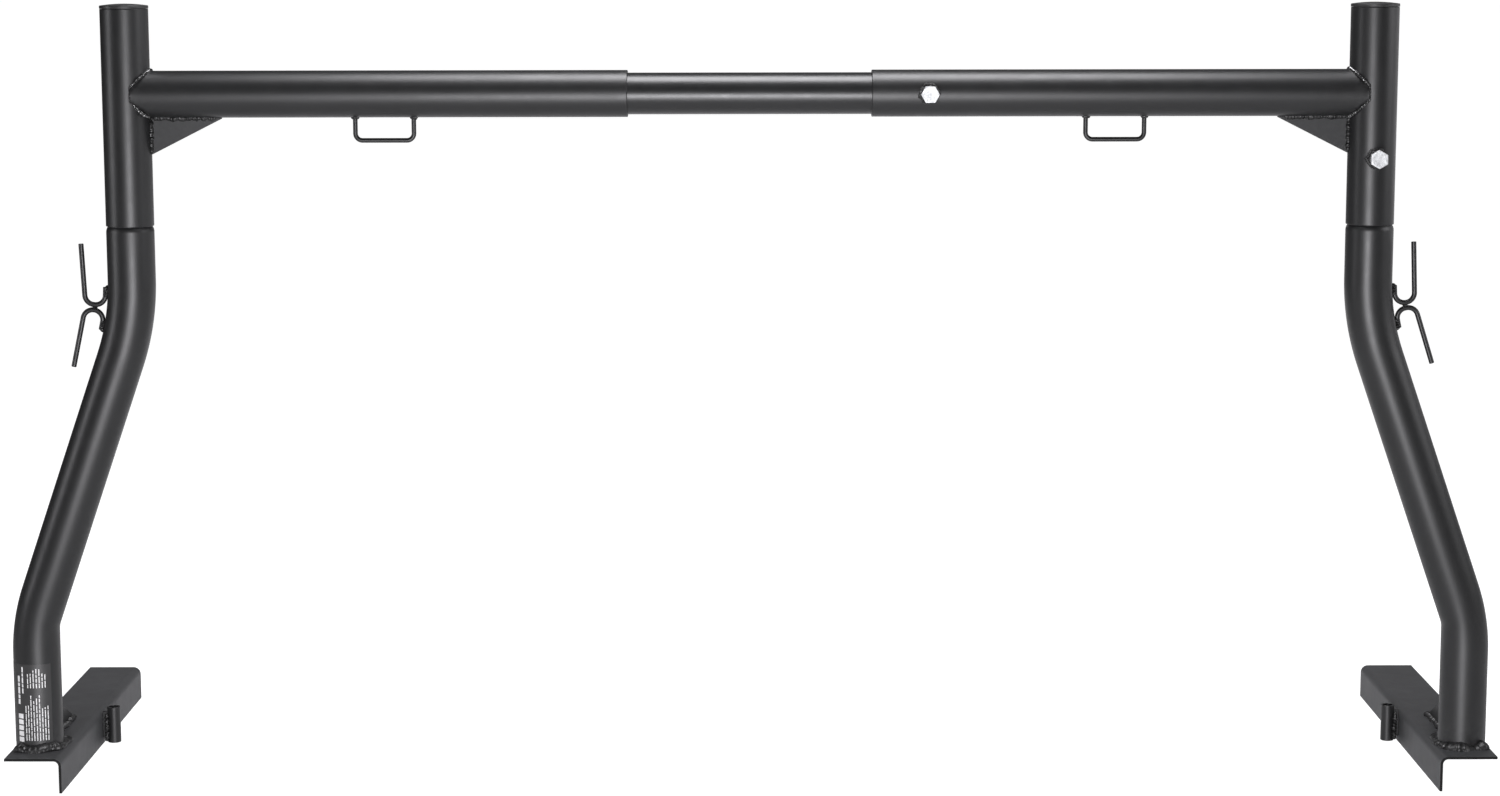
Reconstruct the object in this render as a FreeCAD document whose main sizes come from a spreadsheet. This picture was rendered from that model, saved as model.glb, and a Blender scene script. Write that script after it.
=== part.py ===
import FreeCAD, Part
import math
import os

import Sketcher

# Bolt-together truck headache rack: two bed-rail feet with swan-necked legs, two upper
# frames that plug onto them, and one inner tube that the two crossbar sleeves slide over.
#
# Frame: +X to the right of the truck, +Y towards the tailgate, +Z up. The origin lies on
# the ground plane of the rail flanges, midway between the rails and at their mid-length.
# The posts stand in the plane y = -post_setback.
#
# Both sides use the same parts. A right-hand part is modelled in a frame whose +X points
# outboard, and the left-hand one is that part turned half a turn about the vertical, which
# is why the right clamp bolts face forwards and the left ones face backwards.

DOC = FreeCAD.newDocument("headache_rack")
TOUCH = 0.05  # mm, how closely an edge has to match a size to be picked

DIMENSIONS = {
    # overall layout
    "post_setback": 160.0,
    "post_axis_x": 665.0,
    "foot_axis_x": 781.0,
    "crossbar_height": 751.0,
    "post_bottom": 610.5,
    "post_top": 841.5,
    "sleeve_end_x": 130.0,
    "sleeve_tip_trim": 8.5,
    # tubes
    "post_od": 51.0,
    "post_bore": 47.0,
    "sleeve_od": 50.0,
    "sleeve_bore": 45.0,
    "inner_tube_od": 44.5,
    "inner_tube_bore": 40.5,
    "inner_tube_length": 980.0,
    "leg_od": 51.0,
    "leg_bore": 47.0,
    # legs
    "leg_slant": 19.3,
    "upper_bend_vertex": 507.8,
    "upper_bend_radius": 260.0,
    "lower_bend_radius": 200.0,
    "spigot_od": 46.5,
    "spigot_bore": 42.5,
    "spigot_length": 105.0,
    "swage_length": 6.5,
    # post caps
    "cap_lip": 3.5,
    "cap_crown": 2.0,
    "cap_plug_depth": 14.0,
    "cap_plug_od": 45.4,
    "cap_rib_od": 46.8,
    "cap_rib_width": 1.2,
    "cap_rib_pitch": 3.6,
    "cap_plug_bore": 42.0,
    "cap_ceiling": 1.0,
    "cap_edge_round": 0.8,
    # crossbar gussets
    "plate_thickness": 4.0,
    "upper_gusset_width": 78.0,
    "upper_gusset_drop": 39.5,
    # tie-down loops
    "loop_centre_x": 390.0,
    "loop_spacing": 62.5,
    "loop_rod": 5.0,
    "loop_drop": 24.5,
    "loop_corner_radius": 7.5,
    "loop_embed": 2.0,
    # rope hooks
    "hook_rod": 5.5,
    "hook_width": 21.2,
    "hook_stub": 19.6,
    "hook_arm": 65.3,
    "hook_bend_radius": 10.5,
    "hook_weld_run": 5.0,
    "hook_weld_gap": 0.1,
    "upper_hook_tilt": 3.1,
    "lower_hook_tilt": 12.2,
    "right_upper_hook_lean": 0.7,
    "left_upper_hook_lean": 5.6,
    "right_lower_hook_lean": 5.6,
    "left_lower_hook_lean": 0.3,
    # clamp bolts and weld nuts, metric ten
    "bolt_diameter": 10.0,
    "bolt_length": 16.0,
    "bolt_point": 1.0,
    "bolt_head": 6.4,
    "hex_across_flats": 17.0,
    "hex_chamfer_radius": 8.1,
    "nut_height": 8.0,
    "nut_bore": 10.2,
    "nut_seat_depth": 3.0,
    "bolt_tip_gap": 0.25,
    "clamp_hole": 11.0,
    "crossbar_bolt_x": 190.5,
    "post_bolt_height": 682.0,
    "crossbar_nut_turn": 20.0,
    "post_bolt_turn": 90.0,
    # bed rails
    "rail_length": 438.0,
    "rail_height": 38.5,
    "rail_width": 61.7,
    "rail_thickness": 3.0,
    "rail_edge_x": 807.0,
    "rail_inner_bend": 5.5,
    # rear foot gussets
    "foot_gusset_inset": 6.0,
    "foot_gusset_length": 100.0,
    "foot_gusset_height": 51.5,
    "foot_gusset_nose": 4.0,
    # guide sleeves for the J-bolts
    "guide_od": 15.0,
    "guide_bore": 11.0,
    "guide_length": 41.5,
    "guide_bottom": 1.5,
    "guide_axis_x": 733.0,
    "guide_web_width": 6.0,
    "guide_web_length": 31.0,
    # leg label
    "label_thickness": 0.2,
    "label_bottom": 45.5,
    "label_length": 89.0,
    "label_wrap": 126.0,
    "label_start": 190.0,
}

SHEET = DOC.addObject("Spreadsheet::Sheet", "Dims")
for row, (alias, number) in enumerate(DIMENSIONS.items(), start=1):
    SHEET.set(f"A{row}", alias)
    SHEET.set(f"B{row}", str(number))
    SHEET.setAlias(f"B{row}", alias)
DOC.recompute()


class Dim:
    """A length or angle that carries both its value and the sheet expression behind it."""

    def __init__(self, value, text):
        self.value = value
        self.text = text

    @staticmethod
    def of(item):
        return item if isinstance(item, Dim) else Dim(float(item), repr(float(item)))

    def join(self, other, sign, value):
        return Dim(value, f"({self.text} {sign} {Dim.of(other).text})")

    def __add__(self, other):
        return self.join(other, "+", self.value + Dim.of(other).value)

    def __sub__(self, other):
        return self.join(other, "-", self.value - Dim.of(other).value)

    def __mul__(self, other):
        return self.join(other, "*", self.value * Dim.of(other).value)

    def __truediv__(self, other):
        return self.join(other, "/", self.value / Dim.of(other).value)

    def __neg__(self):
        return Dim(0.0, "0") - self


def dim(alias):
    """The sheet cell with this alias."""
    return Dim(float(SHEET.get(alias)), f"Dims.{alias}")


def sin(angle):
    return Dim(math.sin(math.radians(angle.value)), f"sin({angle.text})")


def cos(angle):
    return Dim(math.cos(math.radians(angle.value)), f"cos({angle.text})")


def tan(angle):
    return Dim(math.tan(math.radians(angle.value)), f"tan({angle.text})")


def set_size(item, prop, size):
    """Bind a property to the sheet."""
    item.setExpression(prop, Dim.of(size).text)


# ---- sketch and feature helpers ----------------------------------------------------------

def new_body(label):
    body = DOC.addObject("PartDesign::Body", label)
    body.Label = label
    return body


def sketch_on(body, plane_role, name):
    plane = next(p for p in body.Origin.OriginFeatures if p.Role == plane_role)
    sketch = body.newObject("Sketcher::SketchObject", name)
    sketch.AttachmentSupport = [(plane, "")]
    sketch.MapMode = "FlatFace"
    return sketch


def constrain(sketch, kind, references, size):
    size = Dim.of(size)
    index = sketch.addConstraint(Sketcher.Constraint(kind, *references, size.value))
    sketch.setExpression(f"Constraints[{index}]", size.text)


def fix_point(sketch, geometry, position, point):
    """Tie one point of a sketch element to its distances from the sketch origin."""
    constrain(sketch, "DistanceX", (-1, 1, geometry, position), point[0])
    constrain(sketch, "DistanceY", (-1, 1, geometry, position), point[1])


def vector(point):
    return FreeCAD.Vector(Dim.of(point[0]).value, Dim.of(point[1]).value, 0)


def add_circle(sketch, diameter, centre=(0, 0)):
    radius = Dim.of(diameter).value / 2
    circle = sketch.addGeometry(Part.Circle(vector(centre), FreeCAD.Vector(0, 0, 1), radius))
    constrain(sketch, "Diameter", (circle,), diameter)
    fix_point(sketch, circle, 3, centre)


def add_outline(sketch, points, arc_edges=None):
    """Closed outline through points; arc_edges gives the arc centre of the edges it names."""
    arc_edges = arc_edges or {}
    count = len(points)
    corners = [vector(point) for point in points]
    ends = []
    for index in range(count):
        here = corners[index]
        there = corners[(index + 1) % count]
        if index in arc_edges:
            edge, start, end = add_outline_arc(sketch, here, there, arc_edges[index])
        else:
            edge, start, end = sketch.addGeometry(Part.LineSegment(here, there)), 1, 2
        ends.append((edge, start, end))
    for index in range(count):
        edge, start, _ = ends[index]
        previous, _, end = ends[index - 1]
        sketch.addConstraint(Sketcher.Constraint("Coincident", previous, end, edge, start))
        fix_point(sketch, edge, start, points[index])


def add_outline_arc(sketch, here, there, arc):
    """Arc from here to there; arc is ("X" or "Y", size) and fixes that centre coordinate."""
    axis, coordinate = arc
    known = Dim.of(coordinate).value
    middle = (here + there) / 2
    span = there - here
    if axis == "X":
        centre = FreeCAD.Vector(known, middle.y - (known - middle.x) * span.x / span.y, 0)
    else:
        centre = FreeCAD.Vector(middle.x - (known - middle.y) * span.y / span.x, known, 0)
    first = math.atan2(here.y - centre.y, here.x - centre.x)
    last = math.atan2(there.y - centre.y, there.x - centre.x)
    anticlockwise = (last - first) % (2 * math.pi) < math.pi
    circle = Part.Circle(centre, FreeCAD.Vector(0, 0, 1), (here - centre).Length)
    angles = (first, last) if anticlockwise else (last, first)
    edge = sketch.addGeometry(Part.ArcOfCircle(circle, *angles))
    constrain(sketch, f"Distance{axis}", (-1, 1, edge, 3), coordinate)
    return (edge, 1, 2) if anticlockwise else (edge, 2, 1)


def add_route(sketch, points, radii):
    """Open centreline through points with a tangent arc of the given radius at each corner."""
    corners = [vector(point) for point in points]
    rounds = [Dim.of(radius).value for radius in radii]
    starts = [corners[0]]
    stops = []
    centres = []
    for index, radius in enumerate(rounds, start=1):
        back = (corners[index - 1] - corners[index]).normalize()
        ahead = (corners[index + 1] - corners[index]).normalize()
        half_angle = back.getAngle(ahead) / 2
        reach = radius / math.tan(half_angle)
        stops.append(corners[index] + back * reach)
        starts.append(corners[index] + ahead * reach)
        bisector = (back + ahead).normalize()
        centres.append(corners[index] + bisector * (radius / math.sin(half_angle)))
    stops.append(corners[-1])
    runs = [sketch.addGeometry(Part.LineSegment(a, b)) for a, b in zip(starts, stops)]
    fix_point(sketch, runs[0], 1, points[0])
    fix_point(sketch, runs[-1], 2, points[-1])
    for index, centre in enumerate(centres):
        stop = stops[index]
        start = starts[index + 1]
        left_turn = (stop - centre).cross(start - centre).z > 0
        first, last = (stop, start) if left_turn else (start, stop)
        angles = [math.atan2(p.y - centre.y, p.x - centre.x) for p in (first, last)]
        circle = Part.Circle(centre, FreeCAD.Vector(0, 0, 1), rounds[index])
        arc = sketch.addGeometry(Part.ArcOfCircle(circle, *angles))
        entry, leave = (1, 2) if left_turn else (2, 1)
        sketch.addConstraint(Sketcher.Constraint("Tangent", runs[index], 2, arc, entry))
        sketch.addConstraint(Sketcher.Constraint("Tangent", arc, leave, runs[index + 1], 1))
        constrain(sketch, "Radius", (arc,), radii[index])
        corner = sketch.addGeometry(Part.Point(corners[index + 1]), True)
        for run in (runs[index], runs[index + 1]):
            sketch.addConstraint(Sketcher.Constraint("PointOnObject", corner, 1, run))
        fix_point(sketch, corner, 1, points[index + 1])


def pad(body, name, sketch, length, midplane=False, backwards=False):
    feature = body.newObject("PartDesign::Pad", name)
    feature.Profile = sketch
    set_size(feature, "Length", length)
    feature.Midplane = midplane
    feature.Reversed = backwards
    sketch.Visibility = False
    return feature


def cut_through(body, name, sketch, both_ways=True):
    """Pocket through everything: both ways, or only along the sketch's own normal."""
    feature = body.newObject("PartDesign::Pocket", name)
    feature.Profile = sketch
    feature.Type = "ThroughAll"
    feature.Midplane = both_ways
    feature.Reversed = not both_ways
    return feature


def revolve(body, name, sketch):
    feature = body.newObject("PartDesign::Revolution", name)
    feature.Profile = sketch
    feature.ReferenceAxis = (sketch, ["V_Axis"])
    feature.Angle = 360
    return feature


def pipe(body, name, section, route):
    feature = body.newObject("PartDesign::AdditivePipe", name)
    feature.Profile = section
    DOC.recompute()
    edges = [f"Edge{index + 1}" for index in range(len(route.Shape.Edges))]
    feature.Spine = (route, edges)
    feature.Transition = "Transformed"
    return feature


def fillet(body, name, base, edges, radius):
    feature = body.newObject("PartDesign::Fillet", name)
    feature.Base = (base, edges)
    set_size(feature, "Radius", radius)
    return feature


def edges_where(feature, test):
    """Names of the edges of a feature that pass a test on their geometry."""
    return [f"Edge{n}" for n, edge in enumerate(feature.Shape.Edges, start=1) if test(edge)]


SUB_PARTS = []


def place(item, side, x, z, y=None, tilt=None, turn_over=False):
    """Stand a sub-part at height z and x outboard; the left side is turned half a turn."""
    y = -dim("post_setback") if y is None else y
    half_turn = FreeCAD.Rotation(FreeCAD.Vector(0, 0, 1), 0 if side > 0 else 180)
    lean = FreeCAD.Rotation(FreeCAD.Vector(0, 1, 0), -tilt.value if tilt else 0)
    flip = FreeCAD.Rotation(FreeCAD.Vector(1, 0, 0), 180 if turn_over else 0)
    item.Placement = FreeCAD.Placement(FreeCAD.Vector(0, 0, 0), half_turn * lean * flip)
    set_size(item, "Placement.Base.x", Dim.of(x) * side)
    set_size(item, "Placement.Base.y", y)
    set_size(item, "Placement.Base.z", z)
    SUB_PARTS.append(item)


# ---- upper frame: post, cap, crossbar sleeve, gusset, loop -------------------------------

def make_post(name, side):
    body = new_body(f"{name}_upper_post")
    section = sketch_on(body, "XY_Plane", "post_section")
    add_circle(section, dim("post_od"))
    add_circle(section, dim("post_bore"))
    pad(body, "post_wall", section, dim("post_top") - dim("post_bottom"))
    hole = sketch_on(body, "XZ_Plane", "post_bolt_hole")
    height = dim("post_bolt_height") - dim("post_bottom")
    add_circle(hole, dim("clamp_hole"), (0, height))
    DOC.recompute()
    cut_through(body, "post_bolt_cut", hole, both_ways=False)
    place(body, side, dim("post_axis_x"), dim("post_bottom"))
    return body


def make_cap(name, side):
    body = new_body(f"{name}_post_cap")
    section = sketch_on(body, "XZ_Plane", "cap_section")
    lip = dim("cap_lip")
    rim = dim("post_od") / 2
    core = dim("cap_plug_od") / 2
    rib = dim("cap_rib_od") / 2
    bore = dim("cap_plug_bore") / 2
    points = [(0, dim("cap_ceiling")), (bore, dim("cap_ceiling"))]
    points += [(bore, -dim("cap_plug_depth")), (core, -dim("cap_plug_depth"))]
    for number in (3, 2, 1):
        low = -dim("cap_rib_pitch") * number
        high = low + dim("cap_rib_width")
        points += [(core, low), (rib, low), (rib, high), (core, high)]
    points += [(core, 0), (rim, 0), (rim, lip), (0, lip + dim("cap_crown"))]
    crown_edge = len(points) - 2
    add_outline(section, points, {crown_edge: ("X", 0)})
    turned = revolve(body, "cap_turned", section)
    DOC.recompute()

    def is_lip_edge(edge):
        box = edge.BoundBox
        full_width = box.XLength > rim.value * 2 - TOUCH
        flat = box.ZLength < TOUCH
        return full_width and flat and abs(box.ZMin - lip.value) < TOUCH

    fillet(body, "cap_edge", turned, edges_where(turned, is_lip_edge), dim("cap_edge_round"))
    place(body, side, dim("post_axis_x"), dim("post_top"))


def make_sleeve(name, side):
    """Crossbar sleeve, coped to the post, with the thin tips of the cope trimmed square."""
    body = new_body(f"{name}_crossbar_sleeve")
    section = sketch_on(body, "YZ_Plane", "sleeve_section")
    section.AttachmentOffset = FreeCAD.Placement()
    set_size(section, "AttachmentOffset.Base.z", -dim("sleeve_tip_trim"))
    add_circle(section, dim("sleeve_od"))
    add_circle(section, dim("sleeve_bore"))
    reach = dim("post_axis_x") - dim("sleeve_end_x") - dim("sleeve_tip_trim")
    pad(body, "sleeve_wall", section, reach, backwards=True)
    saddle = sketch_on(body, "XY_Plane", "post_saddle")
    add_circle(saddle, dim("post_od"))
    DOC.recompute()
    cut_through(body, "saddle_cut", saddle)
    hole = sketch_on(body, "XZ_Plane", "sleeve_bolt_hole")
    bolt_x = dim("crossbar_bolt_x") - dim("post_axis_x")
    add_circle(hole, dim("clamp_hole"), (bolt_x, 0))
    DOC.recompute()
    cut_through(body, "sleeve_bolt_cut", hole, both_ways=False)
    place(body, side, dim("post_axis_x"), dim("crossbar_height"))
    return body


def make_upper_gusset(name, side):
    body = new_body(f"{name}_crossbar_gusset")
    face = sketch_on(body, "XZ_Plane", "gusset_outline")
    top = -dim("sleeve_od") / 2
    post_side = -dim("post_od") / 2
    tip = post_side - dim("upper_gusset_width")
    bottom = top - dim("upper_gusset_drop")
    add_outline(face, [(post_side, top), (tip, top), (post_side, bottom)])
    pad(body, "gusset_plate", face, dim("plate_thickness"), midplane=True)
    place(body, side, dim("post_axis_x"), dim("crossbar_height"))


def make_loop(name, side):
    body = new_body(f"{name}_tie_down_loop")
    half = dim("loop_spacing") / 2
    embed = dim("loop_embed")
    bottom = -(dim("loop_drop") + embed)
    route = sketch_on(body, "XZ_Plane", "loop_route")
    corner = dim("loop_corner_radius")
    points = [(-half, 0), (-half, bottom), (half, bottom), (half, 0)]
    add_route(route, points, [corner, corner])
    section = sketch_on(body, "XY_Plane", "loop_rod_section")
    add_circle(section, dim("loop_rod"), (-half, 0))
    pipe(body, "loop_rod", section, route)
    cope = sketch_on(body, "YZ_Plane", "crossbar_cope")
    add_circle(cope, dim("sleeve_od"), (0, dim("sleeve_od") / 2 - embed))
    DOC.recompute()
    cut_through(body, "cope_cut", cope)
    height = dim("crossbar_height") - dim("sleeve_od") / 2 + embed
    place(body, side, dim("loop_centre_x"), height)


# ---- clamp bolts and weld nuts -----------------------------------------------------------

def hexagon_block(label, height, turn):
    """Hexagon prism along +Z with the chamfered corners of a nut or bolt head on top."""
    prism = DOC.addObject("Part::Prism", f"{label}_prism")
    prism.Polygon = 6
    set_size(prism, "Circumradius", dim("hex_across_flats") / math.sqrt(3))
    set_size(prism, "Height", height)
    set_size(prism, "Placement.Rotation.Angle", turn)
    cone = DOC.addObject("Part::Cone", f"{label}_chamfer_cone")
    set_size(cone, "Radius1", dim("hex_chamfer_radius") + height * math.sqrt(3))
    set_size(cone, "Radius2", dim("hex_chamfer_radius"))
    set_size(cone, "Height", height)
    block = DOC.addObject("Part::Common", f"{label}_block")
    block.Base = prism
    block.Tool = cone
    return block


def cylinder_tool(label, diameter, length, axis, shift):
    """Cylinder centred on the local origin along X, Y or Z, shifted down by shift."""
    tool = DOC.addObject("Part::Cylinder", label)
    set_size(tool, "Radius", Dim.of(diameter) / 2)
    set_size(tool, "Height", length)
    directions = {"X": (1, 0, 0), "Y": (0, 1, 0), "Z": (0, 0, 1)}
    along = FreeCAD.Vector(*directions[axis])
    spin = FreeCAD.Rotation(FreeCAD.Vector(0, 0, 1), along)
    start = along * (-Dim.of(length).value / 2)
    tool.Placement = FreeCAD.Placement(start, spin)
    set_size(tool, "Placement.Base.z", Dim.of(start.z) - shift)
    return tool


def place_on_tube(item, side, x, z, radial):
    """Point a fastener's +Z forwards on the right side and backwards on the left side."""
    half_turn = FreeCAD.Rotation(FreeCAD.Vector(0, 0, 1), 0 if side > 0 else 180)
    outwards = FreeCAD.Rotation(FreeCAD.Vector(1, 0, 0), 90)
    item.Placement = FreeCAD.Placement(FreeCAD.Vector(0, 0, 0), half_turn * outwards)
    set_size(item, "Placement.Base.x", Dim.of(x) * side)
    set_size(item, "Placement.Base.y", -dim("post_setback") - Dim.of(radial) * side)
    set_size(item, "Placement.Base.z", z)
    SUB_PARTS.append(item)


def make_nut(label, side, x, z, tube_od, tube_axis, turn):
    """Weld nut whose seat follows the tube it is welded to."""
    seat = tube_od / 2 - dim("nut_seat_depth")
    height = dim("nut_height") + dim("nut_seat_depth")
    block = hexagon_block(label, height, turn)
    thread = cylinder_tool(f"{label}_thread", dim("nut_bore"), height * 4, "Z", 0)
    tube = cylinder_tool(f"{label}_seat", tube_od, dim("hex_across_flats") * 3, tube_axis, seat)
    tools = DOC.addObject("Part::MultiFuse", f"{label}_tools")
    tools.Shapes = [thread, tube]
    nut = DOC.addObject("Part::Cut", label)
    nut.Base = block
    nut.Tool = tools
    nut.Label = label
    place_on_tube(nut, side, x, z, seat)


def make_bolt(label, side, x, z, inner_od, turn):
    """Hexagon-head clamp bolt whose tip stops just short of the clamped tube."""
    head = hexagon_block(label, dim("bolt_head"), turn)
    shank = DOC.addObject("Part::Cylinder", f"{label}_shank")
    plain = dim("bolt_length") - dim("bolt_point")
    set_size(shank, "Radius", dim("bolt_diameter") / 2)
    set_size(shank, "Height", plain)
    set_size(shank, "Placement.Base.z", -plain)
    point = DOC.addObject("Part::Cone", f"{label}_point")
    set_size(point, "Radius1", dim("bolt_diameter") / 2 - dim("bolt_point"))
    set_size(point, "Radius2", dim("bolt_diameter") / 2)
    set_size(point, "Height", dim("bolt_point"))
    set_size(point, "Placement.Base.z", -dim("bolt_length"))
    bolt = DOC.addObject("Part::MultiFuse", label)
    bolt.Shapes = [head, shank, point]
    bolt.Label = label
    underside = inner_od / 2 + dim("bolt_tip_gap") + dim("bolt_length")
    place_on_tube(bolt, side, x, z, underside)


def make_clamps(name, side):
    bar_x = dim("crossbar_bolt_x")
    bar_z = dim("crossbar_height")
    post_x = dim("post_axis_x")
    post_z = dim("post_bolt_height")
    sleeve_od = dim("sleeve_od")
    post_od = dim("post_od")
    bar_turn = dim("crossbar_nut_turn")
    post_turn = dim("post_bolt_turn")
    make_nut(f"{name}_crossbar_weld_nut", side, bar_x, bar_z, sleeve_od, "X", bar_turn)
    make_nut(f"{name}_post_weld_nut", side, post_x, post_z, post_od, "Y", Dim.of(0))
    make_bolt(f"{name}_crossbar_bolt", side, bar_x, bar_z, dim("inner_tube_od"), Dim.of(0))
    make_bolt(f"{name}_post_bolt", side, post_x, post_z, dim("spigot_od"), post_turn)


def make_inner_tube():
    body = new_body("crossbar_inner_tube")
    section = sketch_on(body, "YZ_Plane", "inner_tube_section")
    add_circle(section, dim("inner_tube_od"))
    add_circle(section, dim("inner_tube_bore"))
    pad(body, "inner_tube_wall", section, dim("inner_tube_length"), midplane=True)
    place(body, 1, 0, dim("crossbar_height"))


# ---- leg with its swaged spigot and rope hooks -------------------------------------------

def make_leg(name, side):
    body = new_body(f"{name}_leg")
    foot_x = dim("foot_axis_x") - dim("post_axis_x")
    shoulder = dim("post_bottom") - dim("rail_height")
    swage_start = shoulder - dim("swage_length")
    upper_z = dim("upper_bend_vertex") - dim("rail_height")
    lower_z = upper_z - foot_x / tan(dim("leg_slant"))
    route = sketch_on(body, "XZ_Plane", "leg_route")
    points = [(foot_x, 0), (foot_x, lower_z), (0, upper_z), (0, swage_start)]
    add_route(route, points, [dim("lower_bend_radius"), dim("upper_bend_radius")])
    section = sketch_on(body, "XY_Plane", "leg_section")
    add_circle(section, dim("leg_od"), (foot_x, 0))
    add_circle(section, dim("leg_bore"), (foot_x, 0))
    pipe(body, "leg_tube", section, route)
    spigot = sketch_on(body, "XZ_Plane", "spigot_section")
    outer = dim("leg_od") / 2
    bore = dim("leg_bore") / 2
    neck = dim("spigot_od") / 2
    neck_bore = dim("spigot_bore") / 2
    top = shoulder + dim("spigot_length")
    outline = [(bore, swage_start), (outer, swage_start), (neck, shoulder), (neck, top)]
    outline += [(neck_bore, top), (neck_bore, shoulder)]
    add_outline(spigot, outline, {1: ("Y", swage_start)})
    revolve(body, "swaged_spigot", spigot)
    place(body, side, dim("post_axis_x"), dim("rail_height"))


def make_hook(name, level, side):
    """Bent-rod rope hook; the lower one stands up, the upper one is the same part inverted."""
    body = new_body(f"{name}_{level}_rope_hook")
    lean = dim(f"{name}_{level}_hook_lean")
    width = dim("hook_width")
    stub = dim("hook_stub")
    arm = dim("hook_arm")
    tip = (width + arm * sin(lean), stub - arm * cos(lean))
    route = sketch_on(body, "XZ_Plane", "hook_route")
    bend = dim("hook_bend_radius")
    add_route(route, [(0, 0), (0, stub), (width, stub), tip], [bend, bend])
    section = sketch_on(body, "XY_Plane", "hook_rod_section")
    add_circle(section, dim("hook_rod"))
    pipe(body, "hook_rod", section, route)

    # The stub lies along the inside of the upper bend, tilt being where on the bend it sits.
    tilt = dim(f"{level}_hook_tilt")
    seat = dim("upper_bend_radius") - (dim("leg_od") + dim("hook_rod")) / 2
    seat = seat - dim("hook_weld_gap")
    bend_z = dim("upper_bend_vertex")
    bend_z = bend_z + dim("upper_bend_radius") * tan(dim("leg_slant") / 2)
    run = dim("hook_weld_run") * (1 if level == "lower" else -1)
    x = dim("post_axis_x") + dim("upper_bend_radius") - seat * cos(tilt) + run * sin(tilt)
    z = bend_z - seat * sin(tilt) - run * cos(tilt)
    place(body, side, x, z, tilt=tilt, turn_over=level == "upper")


# ---- foot: bed rail, rear gusset, J-bolt guide sleeve ------------------------------------

def make_rail(name, side):
    body = new_body(f"{name}_base_rail")
    section = sketch_on(body, "XZ_Plane", "rail_section")
    width = dim("rail_width")
    height = dim("rail_height")
    wall = dim("rail_thickness")
    outline = [(0, 0), (wall, 0), (wall, height - wall), (width, height - wall)]
    outline += [(width, height), (0, height)]
    add_outline(section, outline)
    angle = pad(body, "rail_angle", section, dim("rail_length"), midplane=True)
    DOC.recompute()
    bends = {"inner": (wall.value, height.value - wall.value), "outer": (0, height.value)}
    radii = {"inner": dim("rail_inner_bend"), "outer": dim("rail_inner_bend") + wall}
    base = angle
    for bend, (corner_x, corner_z) in bends.items():

        def is_bend_edge(edge):
            box = edge.BoundBox
            offset = abs(box.XMin - corner_x) + abs(box.ZMin - corner_z)
            return box.YLength > box.XLength + box.ZLength and offset < 0.01

        base = fillet(body, f"{bend}_bend", base, edges_where(base, is_bend_edge), radii[bend])
        DOC.recompute()
    place(body, side, dim("rail_edge_x") - width, 0, y=Dim.of(0))


def make_foot_gusset(name, side):
    body = new_body(f"{name}_foot_gusset")
    face = sketch_on(body, "YZ_Plane", "foot_gusset_outline")
    length = dim("foot_gusset_length")
    nose = (length, dim("foot_gusset_nose"))
    add_outline(face, [(0, 0), (length, 0), nose, (0, dim("foot_gusset_height"))])
    pad(body, "foot_gusset_plate", face, dim("plate_thickness"), midplane=True)
    y = dim("leg_od") / 2 - dim("post_setback")
    body.Placement = FreeCAD.Placement()
    set_size(body, "Placement.Base.x", (dim("foot_axis_x") - dim("foot_gusset_inset")) * side)
    set_size(body, "Placement.Base.y", y)
    set_size(body, "Placement.Base.z", dim("rail_height"))
    SUB_PARTS.append(body)


def make_guide(name, side):
    """Short J-bolt guide tube on a weld web that reaches back to the rail's flange."""
    body = new_body(f"{name}_jbolt_guide")
    flange_x = dim("rail_edge_x") - dim("rail_width") - dim("guide_axis_x")
    half_web = dim("guide_web_width") / 2
    section = sketch_on(body, "XY_Plane", "guide_section")
    add_circle(section, dim("guide_od"))
    pad(body, "guide_rod", section, dim("guide_length"))
    web = sketch_on(body, "XY_Plane", "guide_web")
    web.AttachmentOffset = FreeCAD.Placement()
    rise = (dim("guide_length") - dim("guide_web_length")) / 2
    set_size(web, "AttachmentOffset.Base.z", rise)
    web_corners = [(0, -half_web), (flange_x, -half_web), (flange_x, half_web), (0, half_web)]
    add_outline(web, web_corners)
    pad(body, "guide_web_pad", web, dim("guide_web_length"))
    bore = sketch_on(body, "XY_Plane", "guide_bore")
    add_circle(bore, dim("guide_bore"))
    DOC.recompute()
    cut_through(body, "guide_bore_cut", bore)
    place(body, side, dim("guide_axis_x"), dim("guide_bottom"), y=Dim.of(0))


def make_label():
    """Thin printed label wrapped round the front of the left leg."""
    outer = DOC.addObject("Part::Cylinder", "label_outer")
    inner = DOC.addObject("Part::Cylinder", "label_inner")
    radius = dim("leg_od") / 2
    for skin, size in ((outer, radius + dim("label_thickness")), (inner, radius)):
        set_size(skin, "Radius", size)
        set_size(skin, "Height", dim("label_length"))
    set_size(outer, "Angle", dim("label_wrap"))
    label = DOC.addObject("Part::Cut", "leg_label")
    label.Base = outer
    label.Tool = inner
    label.Label = "leg_label"
    turn = FreeCAD.Rotation(FreeCAD.Vector(0, 0, 1), dim("label_start").value)
    label.Placement = FreeCAD.Placement(FreeCAD.Vector(0, 0, 0), turn)
    set_size(label, "Placement.Base.x", -dim("foot_axis_x"))
    set_size(label, "Placement.Base.y", -dim("post_setback"))
    set_size(label, "Placement.Base.z", dim("label_bottom"))
    SUB_PARTS.append(label)


# ---- checks and export -------------------------------------------------------------------

def check_bolt_hole(body, point):
    """The clamp hole must open the wall that faces the bolt."""
    if body.Shape.isInside(FreeCAD.Vector(*point), 0.01, True):
        raise RuntimeError(f"{body.Label}: the clamp hole is on the wrong wall")


def check_model():
    for item in DOC.Objects:
        if "Invalid" in item.State or "Error" in item.State:
            raise RuntimeError(f"{item.Label} failed: {item.State}")
    for item in SUB_PARTS:
        if item.Shape.isNull() or not item.Shape.isValid() or len(item.Shape.Solids) != 1:
            raise RuntimeError(f"{item.Label} is not one valid solid")


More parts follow.
